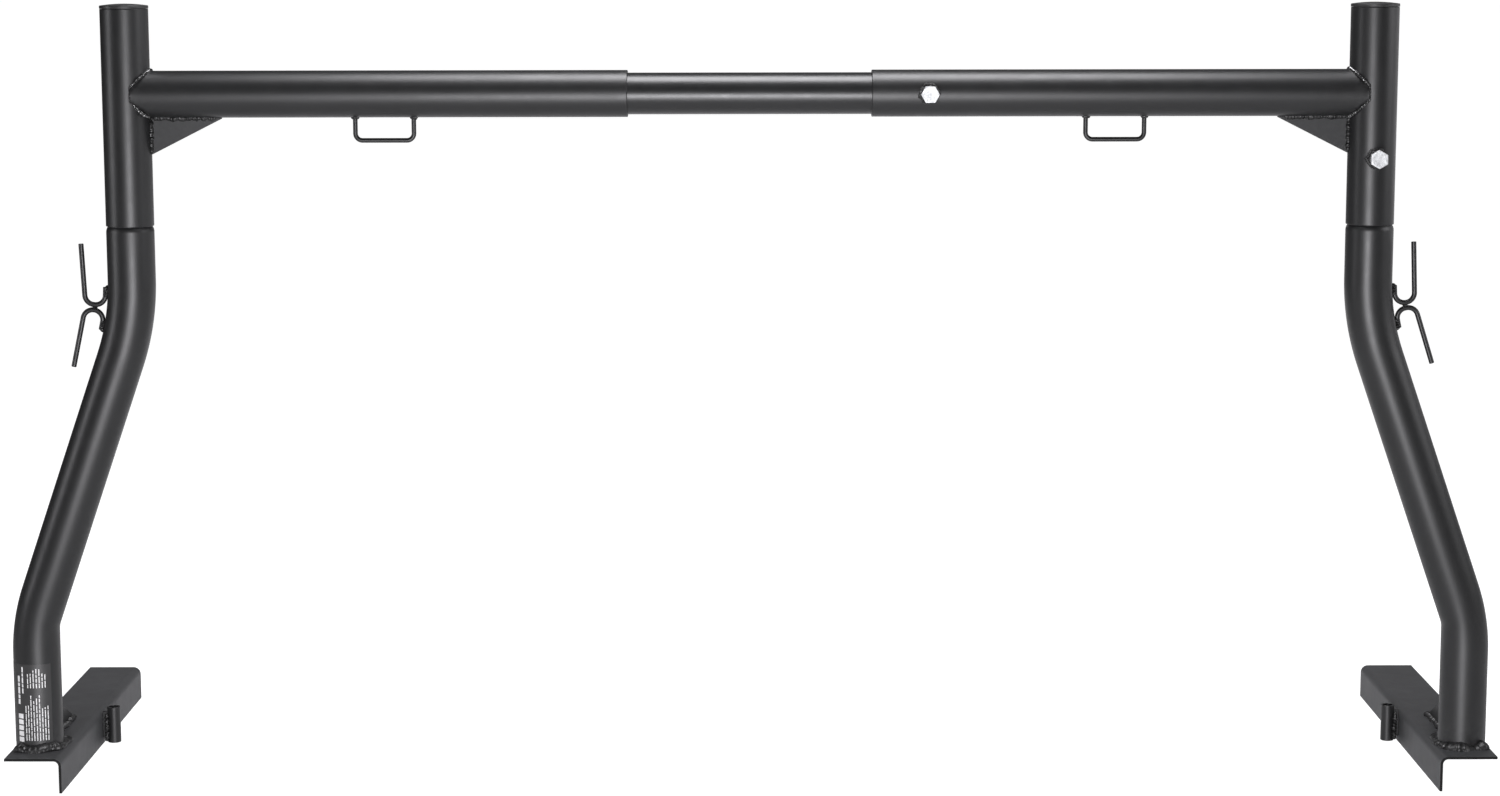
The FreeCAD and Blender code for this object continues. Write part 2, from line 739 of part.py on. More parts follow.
def main():
    make_inner_tube()
    walls = []
    for name, side in (("left", -1), ("right", 1)):
        post = make_post(name, side)
        make_cap(name, side)
        sleeve = make_sleeve(name, side)
        make_upper_gusset(name, side)
        make_loop(name, side)
        make_clamps(name, side)
        make_leg(name, side)
        for level in ("upper", "lower"):
            make_hook(name, level, side)
        make_rail(name, side)
        make_foot_gusset(name, side)
        make_guide(name, side)
        walls += [(post, sleeve, side)]
    make_label()
    DOC.recompute()
    check_model()

    setback = dim("post_setback").value
    post_wall = (dim("post_od") + dim("post_bore")).value / 4
    sleeve_wall = (dim("sleeve_od") + dim("sleeve_bore")).value / 4
    post_x = dim("post_axis_x").value
    bolt_x = dim("crossbar_bolt_x").value
    for post, sleeve, side in walls:
        post_y = -setback - side * post_wall
        sleeve_y = -setback - side * sleeve_wall
        check_bolt_hole(post, (side * post_x, post_y, dim("post_bolt_height").value))
        check_bolt_hole(sleeve, (side * bolt_x, sleeve_y, dim("crossbar_height").value))

    os.makedirs("parts", exist_ok=True)
    for item in SUB_PARTS:
        item.Shape.exportStep(f"parts/{item.Label}.step")
        box = item.Shape.BoundBox
        low = (round(box.XMin, 1), round(box.YMin, 1), round(box.ZMin, 1))
        high = (round(box.XMax, 1), round(box.YMax, 1), round(box.ZMax, 1))
        print(f"{item.Label}: {low} to {high}, {item.Shape.Volume / 1000:.1f} cm3")


main()
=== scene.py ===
import math
import random

import bmesh
import bpy
import numpy as np
from mathutils import Euler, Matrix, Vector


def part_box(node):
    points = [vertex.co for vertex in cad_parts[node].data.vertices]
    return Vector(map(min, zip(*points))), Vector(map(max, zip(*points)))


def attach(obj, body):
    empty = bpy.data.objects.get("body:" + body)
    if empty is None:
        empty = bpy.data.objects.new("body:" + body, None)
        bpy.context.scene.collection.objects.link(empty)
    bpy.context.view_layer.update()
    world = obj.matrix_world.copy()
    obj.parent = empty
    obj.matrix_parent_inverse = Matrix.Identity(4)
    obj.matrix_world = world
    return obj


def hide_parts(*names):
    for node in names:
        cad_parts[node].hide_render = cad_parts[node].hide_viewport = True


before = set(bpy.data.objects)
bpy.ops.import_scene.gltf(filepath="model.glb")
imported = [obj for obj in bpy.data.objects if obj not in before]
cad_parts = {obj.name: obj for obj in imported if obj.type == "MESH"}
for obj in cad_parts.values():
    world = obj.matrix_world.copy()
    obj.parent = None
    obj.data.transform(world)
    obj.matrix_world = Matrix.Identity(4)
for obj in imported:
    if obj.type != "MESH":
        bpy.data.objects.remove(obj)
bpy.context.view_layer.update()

MM = 0.001
SIDES = {"right": 1, "left": -1}
AROUND_TUBE = 96
AROUND_ROD = 28


# ---- places and sizes, from the CAD nodes ----
# Everything is laid out for the right-hand side. The left-hand side is the same part turned
# half a turn about the vertical, so its points are the right-hand ones turned.

def low(node):
    return np.array(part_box(node)[0])


def high(node):
    return np.array(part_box(node)[1])


def middle(node):
    return (low(node) + high(node)) / 2


def size(node):
    return high(node) - low(node)


POST_X, POST_Y = middle("right_upper_post")[:2]
POST_R = size("right_upper_post")[0] / 2
POST_LOW = low("right_upper_post")[2]
POST_HIGH = high("right_upper_post")[2]
POST_WALL = 2.0 * MM

BAR_Z = middle("right_crossbar_sleeve")[2]
SLEEVE_R = size("right_crossbar_sleeve")[2] / 2
SLEEVE_END = low("right_crossbar_sleeve")[0]
SLEEVE_WALL = 2.5 * MM
INNER_R = size("crossbar_inner_tube")[2] / 2
INNER_HALF = high("crossbar_inner_tube")[0]
INNER_WALL = 2.0 * MM

RAIL_TOP = high("right_base_rail")[2]
LEG_R = 25.5 * MM
FOOT_X = high("right_leg")[0] - LEG_R
LEG_WALL = 2.0 * MM
LEG_SLANT = math.radians(19.3)
UPPER_BEND_Z = 507.8 * MM
UPPER_BEND_R = 260.0 * MM
LOWER_BEND_R = 200.0 * MM
LOWER_BEND_Z = UPPER_BEND_Z - (FOOT_X - POST_X) / math.tan(LEG_SLANT)
SWAGE_LOW = 604.0 * MM
SPIGOT_R = 23.25 * MM
SPIGOT_TOP = high("right_leg")[2]

BAR_BOLT_X = middle("right_crossbar_bolt")[0]
POST_BOLT_Z = middle("right_post_bolt")[2]

ROD_LOOP_R = 2.5 * MM
LOOP_HALF = 31.25 * MM
ROD_HOOK_R = 2.75 * MM


# ---- meshes ----

def to_side(points, side, pivot_y=None):
    """Right-hand points, or the same points turned half a turn for the left-hand side."""
    points = np.asarray(points, float)
    if SIDES[side] > 0:
        return points
    pivot_y = POST_Y if pivot_y is None else pivot_y
    return points * [-1, -1, 1] + [0, 2 * pivot_y, 0]


def add_piece(name, points, faces, material, body, nodes=(), slot="black_powder_coat",
              sharp=38, weighted=True, face_materials=None, more_materials=()):
    mesh = bpy.data.meshes.new(name)
    mesh.from_pydata([tuple(p) for p in points], [], [tuple(f) for f in faces])
    mesh.materials.append(material)
    for extra in more_materials:
        mesh.materials.append(extra)
    if face_materials is not None:
        mesh.polygons.foreach_set("material_index", face_materials)
    grown = bmesh.new()
    grown.from_mesh(mesh)
    bmesh.ops.recalc_face_normals(grown, faces=grown.faces)
    grown.to_mesh(mesh)
    grown.free()
    mesh.shade_smooth()
    mesh.set_sharp_from_angle(angle=math.radians(sharp))
    piece = bpy.data.objects.new(name, mesh)
    bpy.context.scene.collection.objects.link(piece)
    if weighted:
        evened = piece.modifiers.new("even_normals", "WEIGHTED_NORMAL")
        evened.keep_sharp = True
        evened.weight = 50
    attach(piece, body)
    if nodes:
        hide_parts(*nodes)
    return piece


class Skin:
    """Points and faces gathered ring by ring; one piece may have several skins in it."""

    def __init__(self):
        self.points = []
        self.faces = []

    def add(self, rings, closed=False, cap=(False, False)):
        """Quads between rings of equal length. closed joins the last ring to the first."""
        first = len(self.points)
        count = len(rings[0])
        for ring in rings:
            self.points.extend(np.asarray(ring, float))
        pairs = list(zip(range(len(rings) - 1), range(1, len(rings))))
        if closed:
            pairs.append((len(rings) - 1, 0))
        for a, b in pairs:
            a, b = first + a * count, first + b * count
            for i in range(count):
                j = (i + 1) % count
                self.faces.append((a + i, a + j, b + j, b + i))
        if cap[0]:
            self.close(first, count)
        if cap[1]:
            self.close(first + (len(rings) - 1) * count, count)
        return self

    def close(self, start, count):
        """A fan over a ring."""
        ring = range(start, start + count)
        self.points.append(np.mean([self.points[i] for i in ring], axis=0))
        pole = len(self.points) - 1
        for i in range(count):
            self.faces.append((start + i, start + (i + 1) % count, pole))

    def piece(self, side, name, material, body, *nodes, pivot_y=None, mirror=False, **options):
        """One side's piece, body and nodes, each name with the side before it.

        The left one is turned half a turn, or with mirror it is a mirror image.
        """
        if mirror:
            points = np.array(self.points) * [SIDES[side], 1, 1]
        else:
            points = to_side(self.points, side, pivot_y)
        nodes = [f"{side}_{node}" for node in nodes]
        add_piece(f"{side}_{name}", points, self.faces, material, f"{side}_{body}", nodes, **options)


def circle(count):
    turn = np.arange(count) * 2 * math.pi / count
    return np.stack([np.cos(turn), np.sin(turn)], axis=1)


X, Y, Z = np.eye(3)


def ring(centre, u, v, radius, outline):
    """A ring of points about centre in the plane of u and v. outline is of unit size."""
    return centre + radius * (outline[:, :1] * u + outline[:, 1:] * v)


# A quarter circle in three steps: how far along and how far in, in shares of its radius.
QUARTER = [(1 - math.cos(math.pi / 6 * k), 1 - math.sin(math.pi / 6 * k)) for k in range(4)]


def rim(radius_out, radius_in, at, inwards, round_off=0.5 * MM):
    """(station, radius) pairs round the rim of a tube wall, from outside to inside."""
    pairs = [(at + inwards * round_off * back, radius_out - round_off * aside)
             for aside, back in QUARTER]
    pairs += [(at + inwards * round_off * back, radius_in + round_off * aside)
              for aside, back in QUARTER[::-1]]
    return pairs


def straight_wall(start, end, radius_out, radius_in, cuts=()):
    """(station, radius) pairs of a straight tube with both rims rounded, all the way round."""
    near = 0.8 * MM
    pairs = rim(radius_out, radius_in, start, 1)[::-1]
    stations = [start + near, *cuts, end - near]
    pairs += [(s, radius_out) for s in stations]
    pairs += rim(radius_out, radius_in, end, -1)
    pairs += [(s, radius_in) for s in reversed(stations)]
    return pairs


def corner_arc(before, corner, after, radius, step):
    """Points and tangents of the arc that rounds a corner."""
    back = (before - corner) / np.linalg.norm(before - corner)
    on = (after - corner) / np.linalg.norm(after - corner)
    turn = math.pi - math.acos(np.clip(back @ on, -1, 1))
    inward = (back + on) / np.linalg.norm(back + on)
    centre = corner + inward * radius / math.cos(turn / 2)
    arm = corner + back * radius * math.tan(turn / 2) - centre
    parts = max(2, math.ceil(turn / step))
    points, tangents = [], []
    for k in range(parts + 1):
        angle = turn * k / parts
        points.append(centre + arm * math.cos(angle) - back * radius * math.sin(angle))
        tangents.append(-back * math.cos(angle) - arm / radius * math.sin(angle))
    return points, tangents


def route(corners, radii, step, run=40 * MM):
    """Points and tangents along straight runs joined by tangent arcs, in a plane."""
    corners = [np.asarray(c, float) for c in corners]
    points = [corners[0]]
    tangents = [(corners[1] - corners[0]) / np.linalg.norm(corners[1] - corners[0])]

    def go_to(end):
        way = end - points[-1]
        length = np.linalg.norm(way)
        parts = max(1, math.ceil(length / run))
        begin = points[-1]
        for k in range(1, parts + 1):
            points.append(begin + way * k / parts)
            tangents.append(way / length)

    for before, corner, after, radius in zip(corners, corners[1:], corners[2:], radii):
        arc, turned = corner_arc(before, corner, after, radius, step)
        go_to(arc[0])
        points += arc[1:]
        tangents += turned[1:]
    go_to(corners[-1])
    return points, tangents


def rod_skin(skin, points, tangents, radius, depth_axis, round_off=0.5 * MM):
    """A solid round rod along planar stations, with both ends slightly rounded."""
    outline = circle(AROUND_ROD)
    rings = []

    def at_end(point, tangent, sign):
        found = []
        for forward, inwards in QUARTER:
            centre = point + tangent * sign * round_off * forward
            across = np.cross(depth_axis, tangent)
            end_r = radius - round_off * inwards
            found.append(ring(centre, across, depth_axis, end_r, outline))
        return found

    rings += at_end(points[0], tangents[0], 1)
    for point, tangent in list(zip(points, tangents))[1:-1]:
        rings.append(ring(point, np.cross(depth_axis, tangent), depth_axis, radius, outline))
    rings += at_end(points[-1], tangents[-1], -1)[::-1]
    skin.add(rings, cap=(True, True))
    return skin


def rounded_outline(corners, radii, step=math.radians(15)):
    """A closed 2-D outline with an arc of the given radius at each corner."""
    outline = []
    corners = [np.asarray(c, float) for c in corners]
    for i, (corner, radius) in enumerate(zip(corners, radii)):
        after = corners[(i + 1) % len(corners)]
        outline += corner_arc(corners[i - 1], corner, after, radius, step)[0]
    return np.array(outline)


def inset(outline, distance):
    """The outline moved inwards by a small distance."""
    before = np.roll(outline, 1, axis=0)
    after = np.roll(outline, -1, axis=0)
    side_a = outline - before
    side_b = after - outline
    normal_a = np.stack([-side_a[:, 1], side_a[:, 0]], axis=1)
    normal_b = np.stack([-side_b[:, 1], side_b[:, 0]], axis=1)
    normal_a /= np.linalg.norm(normal_a, axis=1, keepdims=True)
    normal_b /= np.linalg.norm(normal_b, axis=1, keepdims=True)
    normal = normal_a + normal_b
    normal /= np.maximum((normal * normal).sum(axis=1, keepdims=True) / 2, 1e-9)
    area = np.cross(outline, after).sum()
    return outline + normal * distance * (1 if area > 0 else -1)


def prism(skin, outline, start, end, place, edge=0.45 * MM, cuts=()):
    """A plate: the outline from start to end, its edges rounded. place makes 3-D points."""
    rings = [place(inset(outline, edge * k), start + edge * s) for s, k in QUARTER]
    rings += [place(outline, cut) for cut in cuts]
    rings += [place(inset(outline, edge * k), end - edge * s) for s, k in QUARTER[::-1]]
    first = len(skin.points)
    skin.add(rings)
    count = len(outline)
    skin.faces.append(tuple(range(first, first + count)))
    last = first + (len(rings) - 1) * count
    skin.faces.append(tuple(range(last, last + count)))
    return skin


# ---- weld beads ----

BURIED = 1.6 * MM
BEAD_STEP = 0.45 * MM


def smooth_noise(seed, count, waves):
    """A closed run of smooth random values, about -1 to 1."""
    rand = random.Random(seed)
    t = np.arange(count) * 2 * math.pi / count
    total = np.zeros(count)
    for k in range(1, waves + 1):
        total += rand.gauss(0, 1) * np.sin(k * t + rand.uniform(0, 2 * math.pi))
    return total / math.sqrt(waves)


def resample(points, axes, spacing, closed):
    """The same line with even spacing; axes are carried along with the points."""
    points = np.asarray(points, float)
    if closed:
        points = np.vstack([points, points[:1]])
        axes = [np.vstack([a, a[:1]]) for a in axes]
    steps = np.linalg.norm(np.diff(points, axis=0), axis=1)
    along = np.concatenate([[0], np.cumsum(steps)])
    count = max(6, int(round(along[-1] / spacing)))
    wanted = np.linspace(0, along[-1], count, endpoint=not closed)

    def pick(values):
        return np.stack([np.interp(wanted, along, values[:, k]) for k in range(3)], axis=1)

    points = pick(points)
    axes = [pick(np.asarray(a, float)) for a in axes]
    axes = [a / np.linalg.norm(a, axis=1, keepdims=True) for a in axes]
    return points, axes, wanted


def bead(skin, points, axis_a, axis_b, radius, seed, closed=False, pitch=2.2 * MM,
         ripple=0.10, lumps=0.14, around=16, weight=None, rise=1.0):
    """A weld bead: a rippled, uneven roll of metal laid along a seam.

    axis_a and axis_b point out along the two surfaces that meet at the seam, one direction
    for the whole seam or one for each point. The roll shows between them and its other half
    is buried, less than a wall deep, in the parts.
    rise flattens it along axis_b, and weight scales it by how far along the seam it is.
    """
    axes = [np.broadcast_to(a, (len(points), 3)) for a in (axis_a, axis_b)]
    points, (axis_a, axis_b), along = resample(points, axes, BEAD_STEP, closed)
    count = len(points)
    size_noise = smooth_noise(seed, count, 9) * lumps
    fine_noise = smooth_noise(seed + 1, count, 40) * lumps * 0.45
    shift_a = smooth_noise(seed + 2, count, 7) * radius * 0.16
    shift_b = smooth_noise(seed + 3, count, 7) * radius * 0.16
    length = along[-1]
    turn = np.arange(around) * 2 * math.pi / around
    rings = []
    for i in range(count):
        # Each puddle of the bead is a crescent: its middle trails behind its edges.
        phase = along[i] / pitch - 0.32 * np.cos(turn - math.pi / 4)
        saw = phase - np.floor(phase)
        crest = np.where(saw < 0.75, saw / 0.75, (1 - saw) / 0.25) - 0.5
        share = weight(i / (count - 1)) if weight else 1.0
        grown = share * (1 + size_noise[i] + fine_noise[i] + ripple * 2 * crest)
        if not closed:
            reach = min(along[i], length - along[i])
            fade = min(1.0, (reach + 0.05 * radius) / radius)
            grown = grown * math.sqrt(max(0.02, 1 - (1 - fade) ** 2))
        roll = radius * grown
        out_a = shift_a[i] * share + roll * np.cos(turn)
        out_b = shift_b[i] * share + roll * rise * np.sin(turn)
        out_a = np.maximum(out_a, -BURIED)[:, None]
        out_b = np.maximum(out_b, -BURIED)[:, None]
        rings.append(points[i] + out_a * axis_a[i] + out_b * axis_b[i])
    skin.add(rings, closed=closed, cap=(not closed, not closed))
    return skin


# ---- materials ----

class Nodes:
    """Short hand for building a material's nodes."""

    def __init__(self, name):
        self.material = bpy.data.materials.new(name)
        self.material.use_nodes = True
        self.tree = self.material.node_tree
        self.shader = self.tree.nodes["Principled BSDF"]
        self.place = self.add("ShaderNodeTexCoord").outputs["Object"]

    def add(self, kind, **settings):
        node = self.tree.nodes.new(kind)
        for key, value in settings.items():
            setattr(node, key, value)
        return node

    def link(self, output, target):
        self.tree.links.new(output, target)

    def noise(self, scale, detail=3.0, rough=0.55, stretch=None, distortion=0.0):
        node = self.add("ShaderNodeTexNoise")
        node.inputs["Scale"].default_value = scale
        node.inputs["Detail"].default_value = detail
        node.inputs["Roughness"].default_value = rough
        node.inputs["Distortion"].default_value = distortion
        place = self.place
        if stretch:
            mapping = self.add("ShaderNodeMapping")
            mapping.inputs["Scale"].default_value = stretch
            self.link(place, mapping.inputs["Vector"])
            place = mapping.outputs["Vector"]
        self.link(place, node.inputs["Vector"])
        return node.outputs["Fac"]

    def voronoi(self, scale, feature="F1"):
        node = self.add("ShaderNodeTexVoronoi", feature=feature)
        node.inputs["Scale"].default_value = scale
        self.link(self.place, node.inputs["Vector"])
        return node

    def spread(self, value, low_in, high_in, low_out, high_out):
        node = self.add("ShaderNodeMapRange")
        self.link(value, node.inputs["Value"])
        node.inputs["From Min"].default_value = low_in
        node.inputs["From Max"].default_value = high_in
        node.inputs["To Min"].default_value = low_out
        node.inputs["To Max"].default_value = high_out
        return node.outputs["Result"]

    def maths(self, operation, a, b):
        node = self.add("ShaderNodeMath", operation=operation)
        for socket, value in zip(node.inputs, (a, b)):
            if isinstance(value, (int, float)):
                socket.default_value = value
            else:
                self.link(value, socket)
        return node.outputs["Value"]

    def mix(self, factor, a, b):
        node = self.add("ShaderNodeMix", data_type="RGBA")
        self.link(factor, node.inputs["Factor"])
        for socket, value in ((node.inputs[6], a), (node.inputs[7], b)):
            if isinstance(value, tuple):
                socket.default_value = value
            else:
                self.link(value, socket)
        return node.outputs[2]

    def between(self, value, low_in, high_in, a, b):
        """Colour a where the value is low, b where it is high."""
        return self.mix(self.spread(value, low_in, high_in, 0, 1), a, b)

    def bump(self, layers):
        """Stack bumps: (height, depth in metres, strength)."""
        normal = None
        for height, depth, strength in layers:
            node = self.add("ShaderNodeBump")
            node.inputs["Strength"].default_value = strength
            node.inputs["Distance"].default_value = depth
            self.link(height, node.inputs["Height"])
            if normal is not None:
                self.link(normal, node.inputs["Normal"])
            normal = node.outputs["Normal"]
        self.link(normal, self.shader.inputs["Normal"])

    def worn_edges(self, start=0.52, end=0.6):
        """0 on flats, 1 along convex edges."""
        shape = self.add("ShaderNodeNewGeometry").outputs["Pointiness"]
        edges = self.spread(shape, start, end, 0.0, 1.0)
        patches = self.spread(self.noise(160, 4), 0.4, 0.62, 0.0, 1.0)
        return self.maths("MULTIPLY", edges, patches)

    def shaded_end_faces(self):
        """1 on faces square to the piece's own Y, its end faces, where shade is painted; 0
        elsewhere.
        """
        split = self.add("ShaderNodeSeparateXYZ")
        self.link(self.place.node.outputs["Normal"], split.inputs[0])
        return self.spread(self.maths("ABSOLUTE", split.outputs["Y"], 0), 0.6, 0.8, 0.0, 1.0)

    def set(self, socket, value):
        target = self.shader.inputs[socket]
        if isinstance(value, (int, float, tuple)):
            target.default_value = value
        else:
            self.link(value, target)


def grey(value, tint=0.0):
    """A grey; a little blue with tint above 0."""
    return (value * (1 - tint), value, value * (1 + 1.5 * tint), 1.0)


def powder_coat(name, base, rough, wear=0.5, ends=None):
    """Semi-gloss black powder coat: orange peel, fine grain, uneven sheen.

    wear is how far it thins on convex edges, and ends is a darker grey painted on the end faces as
    shade, where they are also made less reflective.
    """
    m = Nodes(name)
    clouds = m.noise(9, 4, 0.6)
    specks = m.noise(2600, 2, 0.5)
    handled = m.noise(38, 5, 0.62, distortion=0.6)
    colour = m.between(clouds, 0.35, 0.65, grey(base * 0.9, 0.02), grey(base * 1.12, 0.03))
    colour = m.mix(m.spread(specks, 0.62, 0.78, 0, 0.5), colour, grey(base * 1.9, 0.0))
    edge = m.maths("MULTIPLY", m.worn_edges(), wear)
    colour = m.mix(edge, colour, grey(base * 2.6 + 0.01))
    m.set("IOR", 1.5)
    # Where ends is given, the end faces are painted darker as shade and made less reflective.
    if ends is not None:
        painted_end_shade = m.shaded_end_faces()
        colour = m.mix(painted_end_shade, colour, grey(ends))
        m.set("IOR", m.spread(painted_end_shade, 0, 1, 1.5, 1.28))
    m.set("Base Color", colour)
    sheen = m.maths("ADD", m.spread(handled, 0.3, 0.7, rough - 0.025, rough + 0.03),
                    m.spread(specks, 0.3, 0.7, -0.015, 0.02))
    m.set("Roughness", sheen)
    peel_wide = m.noise(420, 2, 0.5)
    peel_fine = m.noise(1500, 3, 0.6)
    m.bump([(peel_wide, 0.02 * MM, 0.5), (peel_fine, 0.006 * MM, 0.55)])
    return m.material


def weld_coat(name, base, rough, glint):
    """The same coat over a weld: it flows thicker and glossier, over coarse scale."""
    m = Nodes(name)
    scale = m.noise(900, 5, 0.7)
    blotches = m.noise(150, 4, 0.6)
    colour = m.between(blotches, 0.35, 0.65, grey(base * 0.75), grey(base * 1.3))
    colour = m.mix(m.worn_edges(0.53, 0.68), colour, grey(base * 3.2))
    m.set("Base Color", colour)
    m.set("Roughness", m.spread(blotches, 0.3, 0.7, rough - 0.03, rough + 0.16))
    m.set("IOR", m.spread(m.noise(310, 3, 0.6), 0.5, 0.59, 1.5, glint))
    m.bump([(scale, 0.1 * MM, 0.6), (m.noise(3200, 2), 0.01 * MM, 0.5)])
    return m.material


def zinc(name):
    """Bright zinc plate: pale, mottled in crystals and smears, with fine scuffs."""
    m = Nodes(name)
    mottle = m.voronoi(420).outputs["Distance"]
    smears = m.noise(520, 5, 0.7, stretch=(1, 1, 0.6), distortion=1.2)
    scuffs = m.noise(900, 3, 0.5, stretch=(1, 1, 0.12))
    colour = m.between(smears, 0.36, 0.6, (0.36, 0.37, 0.375, 1), (0.74, 0.75, 0.755, 1))
    colour = m.mix(m.worn_edges(0.52, 0.6), colour, (0.9, 0.9, 0.91, 1))
    m.set("Base Color", colour)
    m.set("Metallic", 0.35)
    m.set("Roughness", m.maths("ADD", m.spread(mottle, 0, 0.7, 0.42, 0.54),
                               m.spread(scuffs, 0.35, 0.65, -0.04, 0.05)))
    m.bump([(smears, 0.06 * MM, 0.6), (scuffs, 0.008 * MM, 0.5)])
    return m.material


def moulded_plastic(name):
    """Black moulded plastic with a fine spark-eroded texture."""
    m = Nodes(name)
    spark = m.voronoi(2400).outputs["Distance"]
    clouds = m.noise(30, 4, 0.6)
    colour = m.between(clouds, 0.35, 0.65, grey(0.014), grey(0.021))
    colour = m.mix(m.worn_edges(0.53, 0.64), colour, grey(0.055))
    m.set("Base Color", colour)
    m.set("Roughness", m.spread(clouds, 0.3, 0.7, 0.4, 0.5))
    m.set("IOR", 1.49)
    m.bump([(spark, 0.012 * MM, 0.5), (m.noise(260, 2), 0.02 * MM, 0.4)])
    return m.material


def label_film(name, base, rough):
    """Printed vinyl film: smooth, a little glossier than the coat, with faint ripples."""
    m = Nodes(name)
    clouds = m.noise(55, 4, 0.6)
    grain = m.noise(3000, 2, 0.5)
    colour = m.between(clouds, 0.35, 0.65, grey(base * 0.92), grey(base * 1.06))
    m.set("Base Color", colour)
    m.set("Roughness", m.spread(clouds, 0.3, 0.7, rough - 0.03, rough + 0.05))
    m.bump([(clouds, 0.05 * MM, 0.3), (grain, 0.004 * MM, 0.4)])
    return m.material


COAT = powder_coat("powder_coat", 0.0078, 0.4)
# The rail's coat is the same black powder coat, its base painted over four times lighter as light on
# the rail, and its end faces painted darker as shade.
COAT_RAIL_PAINTED_LIGHTER = powder_coat("powder_coat_on_rail_painted_lighter", 0.036, 0.5, wear=0.0, ends=0.004)
# The gusset plate's coat is the same black powder coat, its base painted about twice as light as
# light on the plate.
COAT_PLATE_PAINTED_LIGHTER = powder_coat("powder_coat_on_plate_painted_lighter", 0.016, 0.5)
COAT_INNER = powder_coat("powder_coat_inner_tube", 0.009, 0.33)
COAT_WELD = weld_coat("powder_coat_on_weld", 0.009, 0.34, 1.5)
COAT_WELD_THIN = weld_coat("powder_coat_thin_on_weld", 0.012, 0.13, 2.9)
ZINC = zinc("zinc_plate")
PLASTIC = moulded_plastic("moulded_black_plastic")
FILM = label_film("label_film", 0.026, 0.42)
PRINT = label_film("label_print", 0.72, 0.5)


# ---- tubes ----

def wall_along(axis_point, axis, u, v, pairs, around=AROUND_TUBE):
    outline = circle(around)
    rings = [ring(axis_point + axis * s, u, v, r, outline) for s, r in pairs]
    return Skin().add(rings, closed=True)


def make_post(side):
    cuts = [POST_BOLT_Z - 8 * MM, POST_BOLT_Z + 8 * MM]
    cuts = sorted(cuts + [POST_LOW + 25 * MM, POST_HIGH - 30 * MM, BAR_Z])
    pairs = straight_wall(POST_LOW, POST_HIGH, POST_R, POST_R - POST_WALL, cuts)
    skin = wall_along(np.array([POST_X, POST_Y, 0]), Z, X, Y, pairs)
    skin.piece(side, "post_tube", COAT, "frame", "upper_post")


def saddle_x(offset_y):
    """Where the sleeve ends, offset_y from the post's axis: coped, its thin tips trimmed."""
    coped = POST_X - math.sqrt(max(0.0, POST_R ** 2 - offset_y ** 2))
    return min(coped, high("right_crossbar_sleeve")[0])


def make_sleeve(side):
    outline = circle(AROUND_TUBE)
    wall_in = SLEEVE_R - SLEEVE_WALL
    centre = np.array([0, POST_Y, BAR_Z])

    def coped(radius):
        points = ring(centre, Y, Z, radius, outline)
        for point in points:
            point[0] = saddle_x(point[1] - POST_Y)
        return points

    plain = [SLEEVE_END + 0.8 * MM, SLEEVE_END + 3 * MM, BAR_BOLT_X - 9 * MM]
    plain += [BAR_BOLT_X + 9 * MM, 0.3, 0.42, 0.54, saddle_x(0) - 2 * MM]
    rings = [ring(centre + X * s, Y, Z, r, outline)
             for s, r in rim(SLEEVE_R, wall_in, SLEEVE_END, 1, 0.7 * MM)[::-1]]
    rings += [ring(centre + X * s, Y, Z, SLEEVE_R, outline) for s in plain]
    rings += [coped(SLEEVE_R), coped(wall_in)]
    rings += [ring(centre + X * s, Y, Z, wall_in, outline) for s in plain[::-1]]
    skin = Skin().add(rings, closed=True)
    skin.piece(side, "sleeve_tube", COAT, "frame", "crossbar_sleeve")


def make_inner_tube():
    cuts = [-0.3, -0.13, 0.0, 0.13, 0.3]
    pairs = straight_wall(-INNER_HALF, INNER_HALF, INNER_R, INNER_R - INNER_WALL, cuts)
    skin = wall_along(np.array([0, POST_Y, BAR_Z]), X, Y, Z, pairs)
    add_piece("inner_crossbar_tube", skin.points, skin.faces, COAT_INNER, "inner_tube",
              ["crossbar_inner_tube"])


def leg_stations():
    corners = [(FOOT_X, POST_Y, RAIL_TOP), (FOOT_X, POST_Y, LOWER_BEND_Z),
               (POST_X, POST_Y, UPPER_BEND_Z), (POST_X, POST_Y, SWAGE_LOW)]
    return route(corners, [LOWER_BEND_R, UPPER_BEND_R], math.radians(1.2))


def crushed(points, station):
    """Push in the inner wall of the lower bend, where the bender creased it."""
    reach = LOWER_BEND_R * math.tan(LEG_SLANT / 2)
    centre = np.array([FOOT_X - LOWER_BEND_R, POST_Y, LOWER_BEND_Z - reach])
    arm = station - centre
    from_middle = abs(math.atan2(arm[2], arm[0]) - LEG_SLANT / 2)
    if from_middle >= LEG_SLANT / 2 or station[2] > LOWER_BEND_Z + reach:
        return points
    arm /= np.linalg.norm(arm)
    facing = np.clip(-((points - station) @ arm) / LEG_R, 0, 1)[:, None]
    crease = (LOWER_BEND_R - LEG_R) * (1 / math.cos(LEG_SLANT / 2 - from_middle) - 1)
    return points + arm * crease * facing ** 1.5


